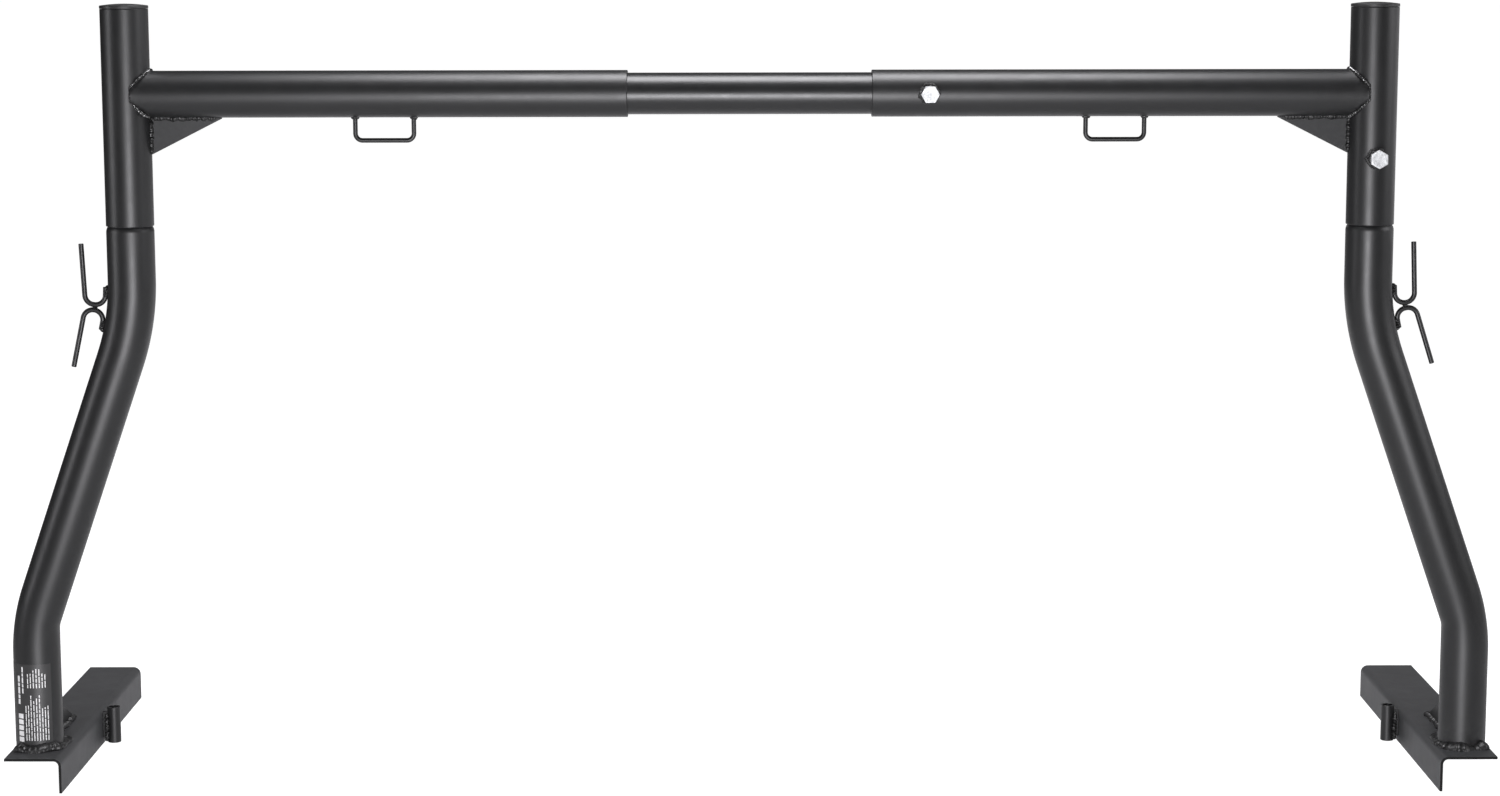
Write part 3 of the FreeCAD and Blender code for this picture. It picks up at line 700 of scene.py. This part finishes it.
def make_leg(side):
    outline = circle(AROUND_TUBE)
    points, tangents = leg_stations()
    stations = [(p, t, LEG_R) for p, t in zip(points, tangents)]
    drop = LEG_R - SPIGOT_R
    run = POST_LOW - SWAGE_LOW
    swage = (run ** 2 + drop ** 2) / (2 * drop)
    top = np.array([POST_X, POST_Y, 0])
    reach = math.asin(run / swage)
    for k in range(1, 7):
        turn = reach * k / 6
        height = SWAGE_LOW + swage * math.sin(turn)
        stations.append((top + Z * height, Z, LEG_R - swage * (1 - math.cos(turn))))
    stations += [(top + Z * z, Z, SPIGOT_R) for z in (SPIGOT_TOP - 45 * MM, SPIGOT_TOP - 0.8 * MM)]

    def at(point, tangent, radius):
        return ring(point, np.cross(Y, tangent), Y, radius, outline)

    outer = [crushed(at(*s), s[0]) for s in stations]
    inner = [crushed(at(p, t, r - LEG_WALL), p) for p, t, r in stations]
    spigot_rim = rim(SPIGOT_R, SPIGOT_R - LEG_WALL, SPIGOT_TOP, -1)
    tip = [at(top + Z * s, Z, r) for s, r in spigot_rim]
    skin = Skin().add(outer + tip + inner[::-1], closed=True)
    skin.piece(side, "leg_tube", COAT, "leg_body", "leg")


def make_cap(side):
    base = POST_HIGH
    rim_r = POST_R + 0.25 * MM
    lip, crown = 3.5 * MM, 2.0 * MM
    dome = (rim_r ** 2 + crown ** 2) / (2 * crown)
    plug_r, rib_r, bore_r = 22.7 * MM, 23.4 * MM, 21.0 * MM
    depth = 14.0 * MM
    profile = []
    for k in range(1, 15):
        r = (rim_r - 0.9 * MM) * k / 14
        profile.append((base + lip + crown - (dome - math.sqrt(dome ** 2 - r ** 2)), r))
    edge = profile[-1][0]
    for k in range(1, 6):
        turn = math.pi / 2 * k / 5
        profile.append((edge - 0.9 * MM * (1 - math.cos(turn)),
                        rim_r - 0.9 * MM * (1 - math.sin(turn))))
    profile.append((base + 0.75 * MM, rim_r))
    for k in range(1, 4):
        turn = math.pi / 2 * k / 3
        profile.append((base + 0.3 * MM + 0.4 * MM * (1 - math.sin(turn)),
                        rim_r - 0.4 * MM * (1 - math.cos(turn))))
    profile += [(base + 0.25 * MM, plug_r + 0.4 * MM), (base - 0.6 * MM, plug_r)]
    for number in range(3):
        top = base - 2.4 * MM - 3.6 * MM * number
        profile += [(top, plug_r), (top - 0.5 * MM, rib_r), (top - 0.8 * MM, rib_r),
                    (top - 1.5 * MM, plug_r)]
    profile += [(base - depth + 0.5 * MM, plug_r), (base - depth, plug_r - 0.5 * MM),
                (base - depth, bore_r), (base + 0.4 * MM, bore_r),
                (base + 1.0 * MM, bore_r - 0.6 * MM), (base + 1.0 * MM, bore_r * 0.5)]
    outline = circle(AROUND_TUBE)
    centre = np.array([POST_X, POST_Y, 0])
    rings = [ring(centre + Z * s, X, Y, r, outline) for s, r in profile]
    skin = Skin().add(rings, cap=(True, True))
    skin.piece(side, "cap", PLASTIC, "frame", "post_cap", slot="black_plastic")


# ---- plates and rail ----

def at_y(flat, y):
    """A flat outline of (x, z) points, stood up at y."""
    return np.stack([flat[:, 0], np.full(len(flat), y), flat[:, 1]], axis=1)


def make_rail(side):
    (inner_x, _, bottom), (outer_x, _, top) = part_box("right_base_rail")
    half = high("right_base_rail")[1]
    thick = 3.0 * MM
    bend_out, bend_in, edge = 8.5 * MM, 5.5 * MM, 0.5 * MM
    corners = [(inner_x, bottom), (inner_x + thick, bottom), (inner_x + thick, top - thick),
               (outer_x, top - thick), (outer_x, top), (inner_x, top)]
    outline = rounded_outline(corners, [edge, edge, bend_in, edge, edge, bend_out],
                              math.radians(9))

    cuts = [-half + k * half / 8 for k in range(1, 16)]
    skin = prism(Skin(), outline, -half, half, at_y, cuts=cuts)
    # The rail takes the coat painted lighter as light, with its end faces painted darker as shade.
    skin.piece(side, "rail", COAT_RAIL_PAINTED_LIGHTER, "leg_body", "base_rail", pivot_y=0.0, sharp=50)


def make_upper_gusset(side):
    (tip_x, back, bottom), (corner_x, front, top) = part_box("right_crossbar_gusset")
    corners = [(tip_x, top), (corner_x, bottom), (corner_x, top)]
    outline = rounded_outline(corners, [0.6 * MM, 0.8 * MM, 0.3 * MM])

    skin = prism(Skin(), outline, back, front, at_y, edge=0.5 * MM)
    # The gusset takes the coat painted lighter as light.
    skin.piece(side, "gusset_plate", COAT_PLATE_PAINTED_LIGHTER, "frame", "crossbar_gusset", sharp=50)


def make_foot_gusset(side):
    (x_in, front, bottom), (x_out, rear, top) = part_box("right_foot_gusset")
    nose = 4.0 * MM
    corners = [(front, bottom), (rear, bottom), (rear, bottom + nose), (front, top)]
    outline = rounded_outline(corners, [0.3 * MM, 0.6 * MM, 0.8 * MM, 0.8 * MM])

    def place(flat, x):
        return np.stack([np.full(len(flat), x), flat[:, 0], flat[:, 1]], axis=1)

    skin = prism(Skin(), outline, x_in, x_out, place, edge=0.5 * MM)
    skin.piece(side, "foot_plate", COAT, "leg_body", "foot_gusset", mirror=True, sharp=50)


# ---- rods ----

def loop_arms():
    """Where the loop's two arms stand, in X."""
    middle_x = middle("right_tie_down_loop")[0]
    return middle_x - LOOP_HALF, middle_x + LOOP_HALF


def make_loop(side):
    bottom = low("right_tie_down_loop")[2] + ROD_LOOP_R
    top = high("right_tie_down_loop")[2]
    near, far = loop_arms()
    flat = [(near, top), (near, bottom), (far, bottom), (far, top)]
    corners = [np.array([x, POST_Y, z]) for x, z in flat]
    points, tangents = route(corners, [7.5 * MM, 7.5 * MM], math.radians(7))
    skin = rod_skin(Skin(), points, tangents, ROD_LOOP_R, Y)
    skin.piece(side, "loop_rod", COAT, "frame", "tie_down_loop")


HOOK_LEAN = {("right", "upper"): 0.7, ("left", "upper"): 5.6,
             ("right", "lower"): 5.6, ("left", "lower"): 0.3}
HOOK_TILT = {"upper": 3.1, "lower": 12.2}
HOOK_STUB = 19.6 * MM
HOOK_WIDTH = 21.2 * MM
HOOK_RUN = 5.0 * MM


def hook_frame(level):
    """Where a hook's stub starts and which way it and the hook's width go, right-hand side."""
    seat = UPPER_BEND_R - LEG_R - ROD_HOOK_R - 0.1 * MM
    centre = np.array([POST_X + UPPER_BEND_R, POST_Y,
                       UPPER_BEND_Z + UPPER_BEND_R * math.tan(LEG_SLANT / 2)])
    tilt = math.radians(HOOK_TILT[level])
    out = np.array([math.cos(tilt), 0, math.sin(tilt)])
    along = np.array([-math.sin(tilt), 0, math.cos(tilt)])
    if level == "upper":
        along = -along
    return centre - out * seat - along * HOOK_RUN, out, along


def make_hook(side, level):
    origin, out, along = hook_frame(level)
    lean = math.radians(HOOK_LEAN[side, level])
    arm, bend = 65.3 * MM, 10.5 * MM
    flat = [(0, 0), (0, HOOK_STUB), (HOOK_WIDTH, HOOK_STUB),
            (HOOK_WIDTH + arm * math.sin(lean), HOOK_STUB - arm * math.cos(lean))]
    corners = [origin + out * x + along * z for x, z in flat]
    points, tangents = route(corners, [bend, bend], math.radians(6))
    skin = rod_skin(Skin(), points, tangents, ROD_HOOK_R, Y, 0.45 * MM)
    skin.piece(side, f"{level}_hook_rod", COAT, "leg_body", f"{level}_rope_hook")


# ---- J-bolt guide ----

def make_guide(side):
    (x_in, front, bottom), (x_out, rear, top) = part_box("right_jbolt_guide")
    radius = (rear - front) / 2
    axis = np.array([x_in + radius, 0, 0])
    pairs = straight_wall(bottom, top, radius, radius - 2.0 * MM, [(bottom + top) / 2])
    skin = wall_along(axis, Z, X, Y, pairs, 56)
    middle_z = (bottom + top) / 2
    half = 15.5 * MM
    outline = rounded_outline([(middle_z - half, -3 * MM), (middle_z + half, -3 * MM),
                               (middle_z + half, 3 * MM), (middle_z - half, 3 * MM)],
                              [1 * MM] * 4)

    def place(flat, x):
        return np.stack([np.full(len(flat), x), flat[:, 1], flat[:, 0]], axis=1)

    prism(skin, outline, axis[0] + radius - 1.2 * MM, x_out, place, edge=0.2 * MM)
    skin.piece(side, "guide_tube", COAT, "leg_body", "jbolt_guide", pivot_y=0.0)


# ---- clamp nuts and bolts ----

def hexagon(turn, radius_in, corner=0.5 * MM, per_corner=5, per_flat=7):
    """A hexagon's outline with rounded corners; radius_in is to the middle of a flat."""
    outline = []
    for k in range(6):
        middle_angle = turn + k * math.pi / 3
        reach = (radius_in - corner) / math.cos(math.pi / 6)
        centre = reach * np.array([math.cos(middle_angle), math.sin(middle_angle)])
        for i in range(per_corner):
            a = middle_angle + math.pi / 6 * (2 * i / (per_corner - 1) - 1)
            outline.append(centre + corner * np.array([math.cos(a), math.sin(a)]))
        after = middle_angle + math.pi / 3
        target = reach * np.array([math.cos(after), math.sin(after)])
        a = middle_angle + math.pi / 6
        begin = outline[-1]
        end = target + corner * np.array([math.cos(a), math.sin(a)])
        for i in range(1, per_flat + 1):
            outline.append(begin + (end - begin) * i / (per_flat + 1))
    return np.array(outline)


def hex_placer(origin, axis, u, v, turn, flat_r):
    """A hexagon's outline and a function that stands it up, scaled out to a radius."""
    outline = hexagon(turn, flat_r)
    reach = np.linalg.norm(outline, axis=1)
    unit = outline / reach[:, None]

    def at(radius, height):
        height = np.broadcast_to(height, len(unit))
        flat = unit * np.broadcast_to(radius, len(unit))[:, None]
        return origin + flat[:, :1] * u + flat[:, 1:] * v + height[:, None] * axis

    return outline, reach, at


def bolt_rings(origin, axis, u, v, turn):
    """Head and threaded shank; origin is under the head, axis points out of the head."""
    flat_r, chamfer_r, head = 8.5 * MM, 8.35 * MM, 6.4 * MM
    shank, pitch, depth = 16.0 * MM, 1.5 * MM, 0.92 * MM
    outline, reach, at = hex_placer(origin, axis, u, v, turn, flat_r)
    angles = np.arctan2(outline[:, 1], outline[:, 0])
    rings = []
    rows = int(shank / (pitch / 8))
    for k in range(rows + 1):
        height = -shank + shank * k / rows
        phase = height / pitch - angles / (2 * math.pi)
        wave = np.abs((phase - np.floor(phase)) * 2 - 1)
        wave = np.clip((wave - 0.12) / 0.66, 0, 1)
        radius = 5.0 * MM - depth * wave
        radius = np.minimum(radius, 4.1 * MM + (height + shank))
        runout = np.clip((height + 1.4 * MM) / (0.9 * MM), 0, 1)
        radius = radius * (1 - runout) + 4.95 * MM * runout
        rings.append(at(radius, height))
    skirt = np.minimum(reach, 8.35 * MM)
    rings += [at(5.4 * MM, 0.0), at(7.6 * MM, 0.0), at(skirt - 0.25 * MM, 0.0),
              at(np.minimum(reach, 8.9 * MM), 0.2 * MM), at(reach, 0.65 * MM)]
    slope = math.tan(math.radians(20))
    shoulder = head - np.maximum(reach - chamfer_r, 0) * slope
    rings += [at(reach, (shoulder + 0.65 * MM) / 2), at(reach, shoulder - 0.12 * MM),
              at(reach - 0.1 * MM, shoulder + 0.03 * MM),
              at((reach + chamfer_r) / 2, (shoulder + head) / 2), at(chamfer_r, head - 0.02 * MM),
              at(chamfer_r - 0.35 * MM, head), at(6.4 * MM, head), at(6.1 * MM, head - 0.12 * MM),
              at(3.0 * MM, head - 0.16 * MM), at(1.0 * MM, head - 0.16 * MM)]
    return rings


def nut_rings(origin, axis, u, v, turn, height, tube_r, across):
    """A weld nut seated on a tube; origin is on the tube's axis, height to the outer face.

    across picks the outline coordinate that runs across the tube.
    """
    flat_r, chamfer_r, bore = 8.5 * MM, 8.1 * MM, 5.1 * MM
    outline, reach, at = hex_placer(origin, axis, u, v, turn, flat_r)

    def seat(radius):
        """Just under the tube's surface, so the nut's foot shows no gap."""
        return np.sqrt(tube_r ** 2 - (outline[:, across] / reach * radius) ** 2) - 0.15 * MM

    slope = math.tan(math.radians(30))
    shoulder = height - np.maximum(reach - chamfer_r, 0) * slope
    rings = [at(bore, seat(bore)), at(reach, seat(reach)), at(reach, seat(reach) + 1.2 * MM),
             at(reach, shoulder - 0.12 * MM), at(reach - 0.1 * MM, shoulder + 0.03 * MM),
             at((reach + chamfer_r) / 2, (shoulder + height) / 2),
             at(chamfer_r, height - 0.02 * MM), at(chamfer_r - 0.35 * MM, height),
             at(5.9 * MM, height), at(5.6 * MM, height - 0.15 * MM), at(bore, height - 0.65 * MM)]
    return rings


def clamp_place(where):
    """Centre on the tube's axis, tube radius, nut's turn, coordinate that runs across the tube."""
    if where == "crossbar":
        return np.array([BAR_BOLT_X, POST_Y, BAR_Z]), SLEEVE_R, math.radians(20), 1
    return np.array([POST_X, POST_Y, POST_BOLT_Z]), POST_R, 0.0, 0


def make_clamp(side, where):
    centre, tube_r, nut_turn, across = clamp_place(where)
    if where == "crossbar":
        height, under, bolt_turn = 33.0 * MM, 38.5 * MM, 0.0
    else:
        height, under, bolt_turn = 33.5 * MM, 39.5 * MM, math.radians(90)
    axis = -Y
    nut = Skin().add(nut_rings(centre, axis, X, Z, nut_turn, height, tube_r, across), closed=True)
    nut.piece(side, f"{where}_nut", COAT, "frame", f"{where}_weld_nut", sharp=28)
    bolt = Skin().add(bolt_rings(centre + axis * under, axis, X, Z, bolt_turn),
                      cap=(True, True))
    bolt.piece(side, f"{where}_hex_bolt", ZINC, f"{where}_bolt_body", f"{where}_bolt",
               slot="zinc_plate", sharp=28)


# ---- label ----

def make_label():
    """A printed film on the left leg: blocks and rules only, laid sideways like the print."""
    radius = LEG_R + 0.02 * MM
    film = 0.18 * MM
    bottom = low("leg_label")[2]
    top = high("leg_label")[2]
    begin, wrap = math.radians(190), math.radians(126)
    # Bars as (left, right, low, high) shares of the label's width and height.
    bars = [(0.29, 0.42, start, start + 0.058) for start in (0.03, 0.103, 0.176, 0.249, 0.322)]
    rand = random.Random(7)

    def rule(left, width, start, stop):
        """One rule broken into dashes of uneven length."""
        while start < stop - 0.02:
            dash = min(stop - start, rand.uniform(0.035, 0.11))
            bars.append((left, left + width, start, start + dash))
            start += dash + 0.012

    rule(0.30, 0.055, 0.50, 0.87)
    rule(0.41, 0.03, 0.64, 0.97)
    for number in range(7):
        rule(0.53 + number * 0.056, 0.017, 0.71, 0.71 + rand.uniform(0.17, 0.26))
    for number in range(9):
        rule(0.475 + number * 0.054, 0.017, 0.05, 0.05 + rand.uniform(0.40, 0.57))
    columns = sorted(set([0.0, 1.0] + [round(x, 4) for b in bars for x in b[:2]]
                         + [k / 40 for k in range(41)]))
    rows = sorted(set([0.0, 1.0] + [round(x, 4) for b in bars for x in b[2:]]))
    centre = np.array([-FOOT_X, POST_Y, 0])

    def at(share_x, share_z, r):
        angle = begin + wrap * share_x
        return centre + r * np.array([math.cos(angle), math.sin(angle), 0]) \
            + Z * (bottom + (top - bottom) * share_z)

    wide, tall = len(columns), len(rows)
    points = [at(c, r, radius + film) for r in rows for c in columns]
    points += [at(c, r, radius) for r in rows for c in columns]
    back = wide * tall
    faces, kinds = [], []
    for j in range(tall - 1):
        for i in range(wide - 1):
            a = j * wide + i
            quad = (a, a + 1, a + wide + 1, a + wide)
            x = (columns[i] + columns[i + 1]) / 2
            z = (rows[j] + rows[j + 1]) / 2
            printed = any(b[0] < x < b[1] and b[2] < z < b[3] for b in bars)
            faces.append(quad)
            kinds.append(1 if printed else 0)
            faces.append(tuple(back + k for k in reversed(quad)))
            kinds.append(0)
    border = [(i, i + 1) for i in range(wide - 1)]
    border += [((tall - 1) * wide + i + 1, (tall - 1) * wide + i) for i in range(wide - 1)]
    border += [((j + 1) * wide, j * wide) for j in range(tall - 1)]
    border += [(j * wide + wide - 1, (j + 1) * wide + wide - 1) for j in range(tall - 1)]
    for a, b in border:
        faces.append((b, a, back + a, back + b))
        kinds.append(0)
    add_piece("leg_label_sheet", points, faces, FILM, "left_leg_body", ["leg_label"],
              slot="label_film", face_materials=kinds, more_materials=[PRINT], weighted=False)


# ---- welds ----

def spaced(start, end, step=2 * MM):
    count = max(2, int(abs(end - start) / step))
    return np.linspace(start, end, count)


def weld_saddle(skin, seed):
    """Round the joint of sleeve and post."""
    turn = np.linspace(0, 2 * math.pi, 241)[:-1]
    points, on_sleeve, on_post = [], [], []
    for a in turn:
        y, z = SLEEVE_R * math.sin(a), SLEEVE_R * math.cos(a)
        x = saddle_x(y)
        on_wall = math.copysign(math.sqrt(POST_R ** 2 - (x - POST_X) ** 2), y)
        points.append((x, POST_Y + (y + on_wall) / 2, BAR_Z + z))
        on_sleeve.append((0, math.sin(a), math.cos(a)))
        on_post.append(((x - POST_X) / POST_R, on_wall / POST_R, 0))
    bead(skin, points, on_sleeve, on_post, 3.8 * MM, seed, closed=True,
         pitch=3.4 * MM, ripple=0.15, lumps=0.17,
         weight=lambda share: 0.62 + 0.38 * abs(math.sin(share * 2 * math.pi)))


def weld_gusset(skin, seed):
    """Along both edges of the upper gusset, on both of its faces."""
    (tip_x, back, bottom), (corner_x, front, top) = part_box("right_crossbar_gusset")
    for k, (face_y, outwards) in enumerate(((back, -1), (front, 1))):
        drop = SLEEVE_R - math.sqrt(SLEEVE_R ** 2 - (face_y - POST_Y) ** 2)
        xs = spaced(corner_x - 2 * MM, tip_x + 8 * MM)
        points = [(x, face_y, top + drop) for x in xs]
        bead(skin, points, Y * outwards, -Z, 3.3 * MM, seed + 10 * k, pitch=3.4 * MM,
             ripple=0.1, lumps=0.16)
        zs = spaced(top - 1 * MM, bottom + 2.5 * MM)
        points = [(corner_x - 0.2 * MM, face_y, z) for z in zs]
        bead(skin, points, Y * outwards, -X, 2.6 * MM, seed + 10 * k + 5, pitch=3.0 * MM,
             ripple=0.09, lumps=0.13)


def weld_loop(skin, seed):
    """Round the top of each arm of the loop."""
    ring_r = 2.6 * MM
    turn = np.linspace(0, 2 * math.pi, 41)[:-1]
    out = [(math.cos(a), math.sin(a), 0) for a in turn]
    for k, x in enumerate(loop_arms()):
        points = [(x + ring_r * math.cos(a), POST_Y + ring_r * math.sin(a),
                   BAR_Z - math.sqrt(SLEEVE_R ** 2 - (ring_r * math.sin(a)) ** 2)) for a in turn]
        bead(skin, points, out, -Z, 1.7 * MM, seed + k * 10, closed=True, pitch=2.4 * MM,
             ripple=0.08, lumps=0.22, around=12)


def weld_nut(skin, seed, where):
    """Round a nut's foot on its tube."""
    centre, tube_r, turn, across = clamp_place(where)
    points, out = [], []
    for u, v in hexagon(turn, 8.7 * MM, 1.5 * MM):
        depth = math.sqrt(tube_r ** 2 - (u, v)[across] ** 2)
        points.append((centre[0] + u, centre[1] - depth, centre[2] + v))
        out.append((u / math.hypot(u, v), 0, v / math.hypot(u, v)))
    bead(skin, points, out, -Y, 2.2 * MM, seed, closed=True, pitch=2.6 * MM, ripple=0.13,
         lumps=0.24, around=12)


def weld_foot(skin, seed):
    """Round the bottom of the leg, on top of the rail: broad and low, thin at its sides."""
    turn = np.linspace(0, 2 * math.pi, 181)[:-1]
    points = [(FOOT_X + LEG_R * math.cos(a), POST_Y + LEG_R * math.sin(a), RAIL_TOP) for a in turn]
    out = [(math.cos(a), math.sin(a), 0) for a in turn]
    radius = 11.5 * MM
    outboard = high("right_base_rail")[0] - FOOT_X - 0.25 * MM
    inboard = FOOT_X - low("right_base_rail")[0] - 4 * MM

    def weight(share):
        across = math.cos(share * 2 * math.pi)
        room = outboard if across > 0 else inboard
        reach = room / max(0.3, abs(across)) - LEG_R
        return min(1.0, max(0.03, reach / radius / 1.3))

    bead(skin, points, out, Z, radius, seed, closed=True,
         pitch=5.2 * MM, ripple=0.05, lumps=0.11, weight=weight, rise=0.62)


def weld_foot_gusset(skin, seed):
    """Along the rail on both faces of the gusset, round its nose, and up the leg."""
    (x_in, front, bottom), (x_out, rear, top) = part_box("right_foot_gusset")
    for k, (x, outwards) in enumerate(((x_in, -1.0), (x_out, 1.0))):
        ys = spaced(front + 3 * MM, rear + 5 * MM)
        points = [(x, y, bottom) for y in ys]
        bead(skin, points, X * outwards, Z, 4.4 * MM, seed + 10 * k, pitch=3.8 * MM,
             ripple=0.14, lumps=0.2, rise=0.85)
        zs = spaced(bottom + 2 * MM, top - 2 * MM)
        points = [(x, front - 0.2 * MM, z) for z in zs]
        bead(skin, points, X * outwards, Y, 2.8 * MM, seed + 10 * k + 5, pitch=3.0 * MM,
             ripple=0.1, lumps=0.15)


def weld_hook(skin, seed, level):
    """Along both sides of a hook's stub."""
    origin, out, along = hook_frame(level)
    for k, sign in enumerate((-1.0, 1.0)):
        ss = spaced(-2.0 * MM, HOOK_STUB - 8.6 * MM, 1 * MM)
        start = origin - out * (ROD_HOOK_R - 0.9 * MM) + Y * sign * 1.7 * MM
        points = [start + along * s for s in ss]
        bead(skin, points, out, Y * sign, 2.5 * MM, seed + 10 * k, pitch=2.8 * MM,
             ripple=0.14, lumps=0.24, around=12)


def weld_hook_tack(skin, seed):
    """A small tack between the two hooks where their bends touch."""
    crests = []
    for level in ("upper", "lower"):
        origin, out, along = hook_frame(level)
        crests.append(origin + out * HOOK_WIDTH / 2 + along * HOOK_STUB)
    spot = (crests[0] + crests[1]) / 2
    for k, sign in enumerate((-1.0, 1.0)):
        xs = spaced(-2.6 * MM, 2.6 * MM, 1 * MM)
        points = [spot + X * x + Y * sign * 0.9 * MM for x in xs]
        bead(skin, points, Z, Y * sign, 1.5 * MM, seed + 10 * k, pitch=2.0 * MM,
             ripple=0.08, lumps=0.2, around=12)


def weld_guide(skin, seed):
    """Fills the corner between the guide tube and its web, front and back."""
    bottom = low("right_jbolt_guide")[2]
    x_out, _, top = high("right_jbolt_guide")
    aside = 4.6 * MM
    for k, sign in enumerate((-1.0, 1.0)):
        zs = spaced(bottom + 1.5 * MM, top - 8 * MM)
        points = [(x_out - aside, sign * aside, z) for z in zs]
        bead(skin, points, Y * sign, -X, 2.9 * MM, seed + 10 * k, pitch=3.6 * MM,
             ripple=0.15, lumps=0.26)


def make_welds(side):
    first = {"right": 100, "left": 500}[side]

    def weld(name, body, *seams, material=COAT_WELD, **options):
        """One piece. Each seam is its function, its own seed and what else it takes."""
        skin = Skin()
        for lay, seed, *more in seams:
            lay(skin, first + seed, *more)
        skin.piece(side, name, material, body, weighted=False, sharp=60, **options)

    weld("saddle_weld", "frame", (weld_saddle, 0), material=COAT_WELD_THIN)
    weld("gusset_welds", "frame", (weld_gusset, 20))
    weld("loop_welds", "frame", (weld_loop, 60))
    weld("nut_welds", "frame", (weld_nut, 90, "crossbar"), (weld_nut, 110, "post"))
    weld("foot_weld", "leg_body", (weld_foot, 130))
    weld("hook_welds", "leg_body", (weld_hook, 150, "upper"), (weld_hook, 180, "lower"),
         (weld_hook_tack, 195))
    weld("guide_welds", "leg_body", (weld_guide, 210), pivot_y=0.0)
    weld("foot_plate_welds", "leg_body", (weld_foot_gusset, 240), mirror=True)


make_inner_tube()
for side in SIDES:
    make_post(side)
    make_cap(side)
    make_sleeve(side)
    make_upper_gusset(side)
    make_loop(side)
    make_clamp(side, "crossbar")
    make_clamp(side, "post")
    make_leg(side)
    make_hook(side, "upper")
    make_hook(side, "lower")
    make_rail(side)
    make_foot_gusset(side)
    make_guide(side)
    make_welds(side)
make_label()


# ---- floor, light, camera ----

PALE = (1.0, 0.992, 1.025)


def flat_material(name, colour, glow, tint=(1, 1, 1, 1)):
    """A matt surface that gives off an even glow."""
    m = Nodes(name)
    m.set("Base Color", grey(colour))
    m.set("Roughness", 0.9)
    m.set("Specular IOR Level", 0.0)
    m.set("Emission Color", tint)
    m.set("Emission Strength", glow)
    return m


def stage_plane(name, half, height, material):
    mesh = bpy.data.meshes.new(name)
    mesh.from_pydata([(-half, -half, height), (half, -half, height), (half, half, height),
                      (-half, half, height)], [], [(0, 1, 2, 3)])
    mesh.materials.append(material)
    plane = bpy.data.objects.new(name, mesh)
    bpy.context.scene.collection.objects.link(plane)
    return plane


floor = stage_plane("floor", 300.0, -0.0005, flat_material("floor_white", 0.35, 1.0).material)
floor.visible_glossy = False
floor.visible_shadow = False
floor.visible_diffuse = False
# The floor's glow on the object grows towards the back and is weak far to the left.
bounce_light = flat_material("floor_bounce_light", 0.5, 0.3, (*PALE, 1))
split = bounce_light.add("ShaderNodeSeparateXYZ")
bounce_light.link(bounce_light.place, split.inputs["Vector"])
backwards = bounce_light.spread(split.outputs["Y"], 0.4, 1.4, 0.27, 0.85)
rightwards = bounce_light.spread(split.outputs["X"], -1.4, -0.95, 0.1, 1.0)
bounce_light.set("Emission Strength", bounce_light.maths("MULTIPLY", backwards, rightwards))
bounce = stage_plane("floor_bounce", 12.0, -0.001, bounce_light.material)
bounce.visible_camera = False
bounce.visible_shadow = False


def area_light(name, place, turn, width, height, power):
    data = bpy.data.lights.new(name, "AREA")
    data.shape = "RECTANGLE"
    data.size = width
    data.size_y = height
    data.energy = power
    data.color = PALE
    lamp = bpy.data.objects.new(name, data)
    lamp.location = place
    lamp.rotation_euler = Euler([math.radians(a) for a in turn])
    lamp.visible_camera = False
    bpy.context.scene.collection.objects.link(lamp)
    return lamp


area_light("overhead_softbox", (0.05, -0.2, 2.3), (0, 0, 0), 1.25, 0.95, 53)
area_light("front_softbox", (-0.07, -2.45, 0.16), (90, 0, 0), 0.72, 0.82, 50)
area_light("left_side", (-1.9, -0.6, 0.72), (90, 0, -70), 0.3, 0.95, 5.5)
area_light("right_side", (3.2, -0.75, 1.45), (90, 0, 78), 1.7, 1.4, 28)
area_light("right_back", (1.9, 0.7, 1.1), (90, 0, 120), 1.2, 1.2, 3)
area_light("back_wall", (0, 4.2, 1.35), (90, 0, 180), 5.0, 0.9, 9)

world = bpy.data.worlds.new("studio")
bpy.context.scene.world = world
world.use_nodes = True
tree = world.node_tree
background = tree.nodes["Background"]
background.inputs["Color"].default_value = (1, 1, 1, 1)
seen = tree.nodes.new("ShaderNodeLightPath").outputs["Is Camera Ray"]
strength = tree.nodes.new("ShaderNodeMapRange")
strength.inputs["To Min"].default_value = 0.045
strength.inputs["To Max"].default_value = 1.0
tree.links.new(seen, strength.inputs["Value"])
tree.links.new(strength.outputs["Result"], background.inputs["Strength"])

bpy.context.scene.view_settings.view_transform = "Standard"

lens = bpy.data.cameras.new("camera")
lens.sensor_width = 36.0
lens.lens = 73.49
lens.clip_end = 1000.0
camera = bpy.data.objects.new("camera", lens)
camera.location = (0.00098, POST_Y - 3.2795, 0.8866)
tilt, yaw, roll = 0.1405, 0.00012, 0.0016
camera.rotation_euler = Euler((math.pi / 2 - tilt, roll, yaw), "XYZ")
bpy.context.scene.collection.objects.link(camera)
bpy.context.scene.camera = camera
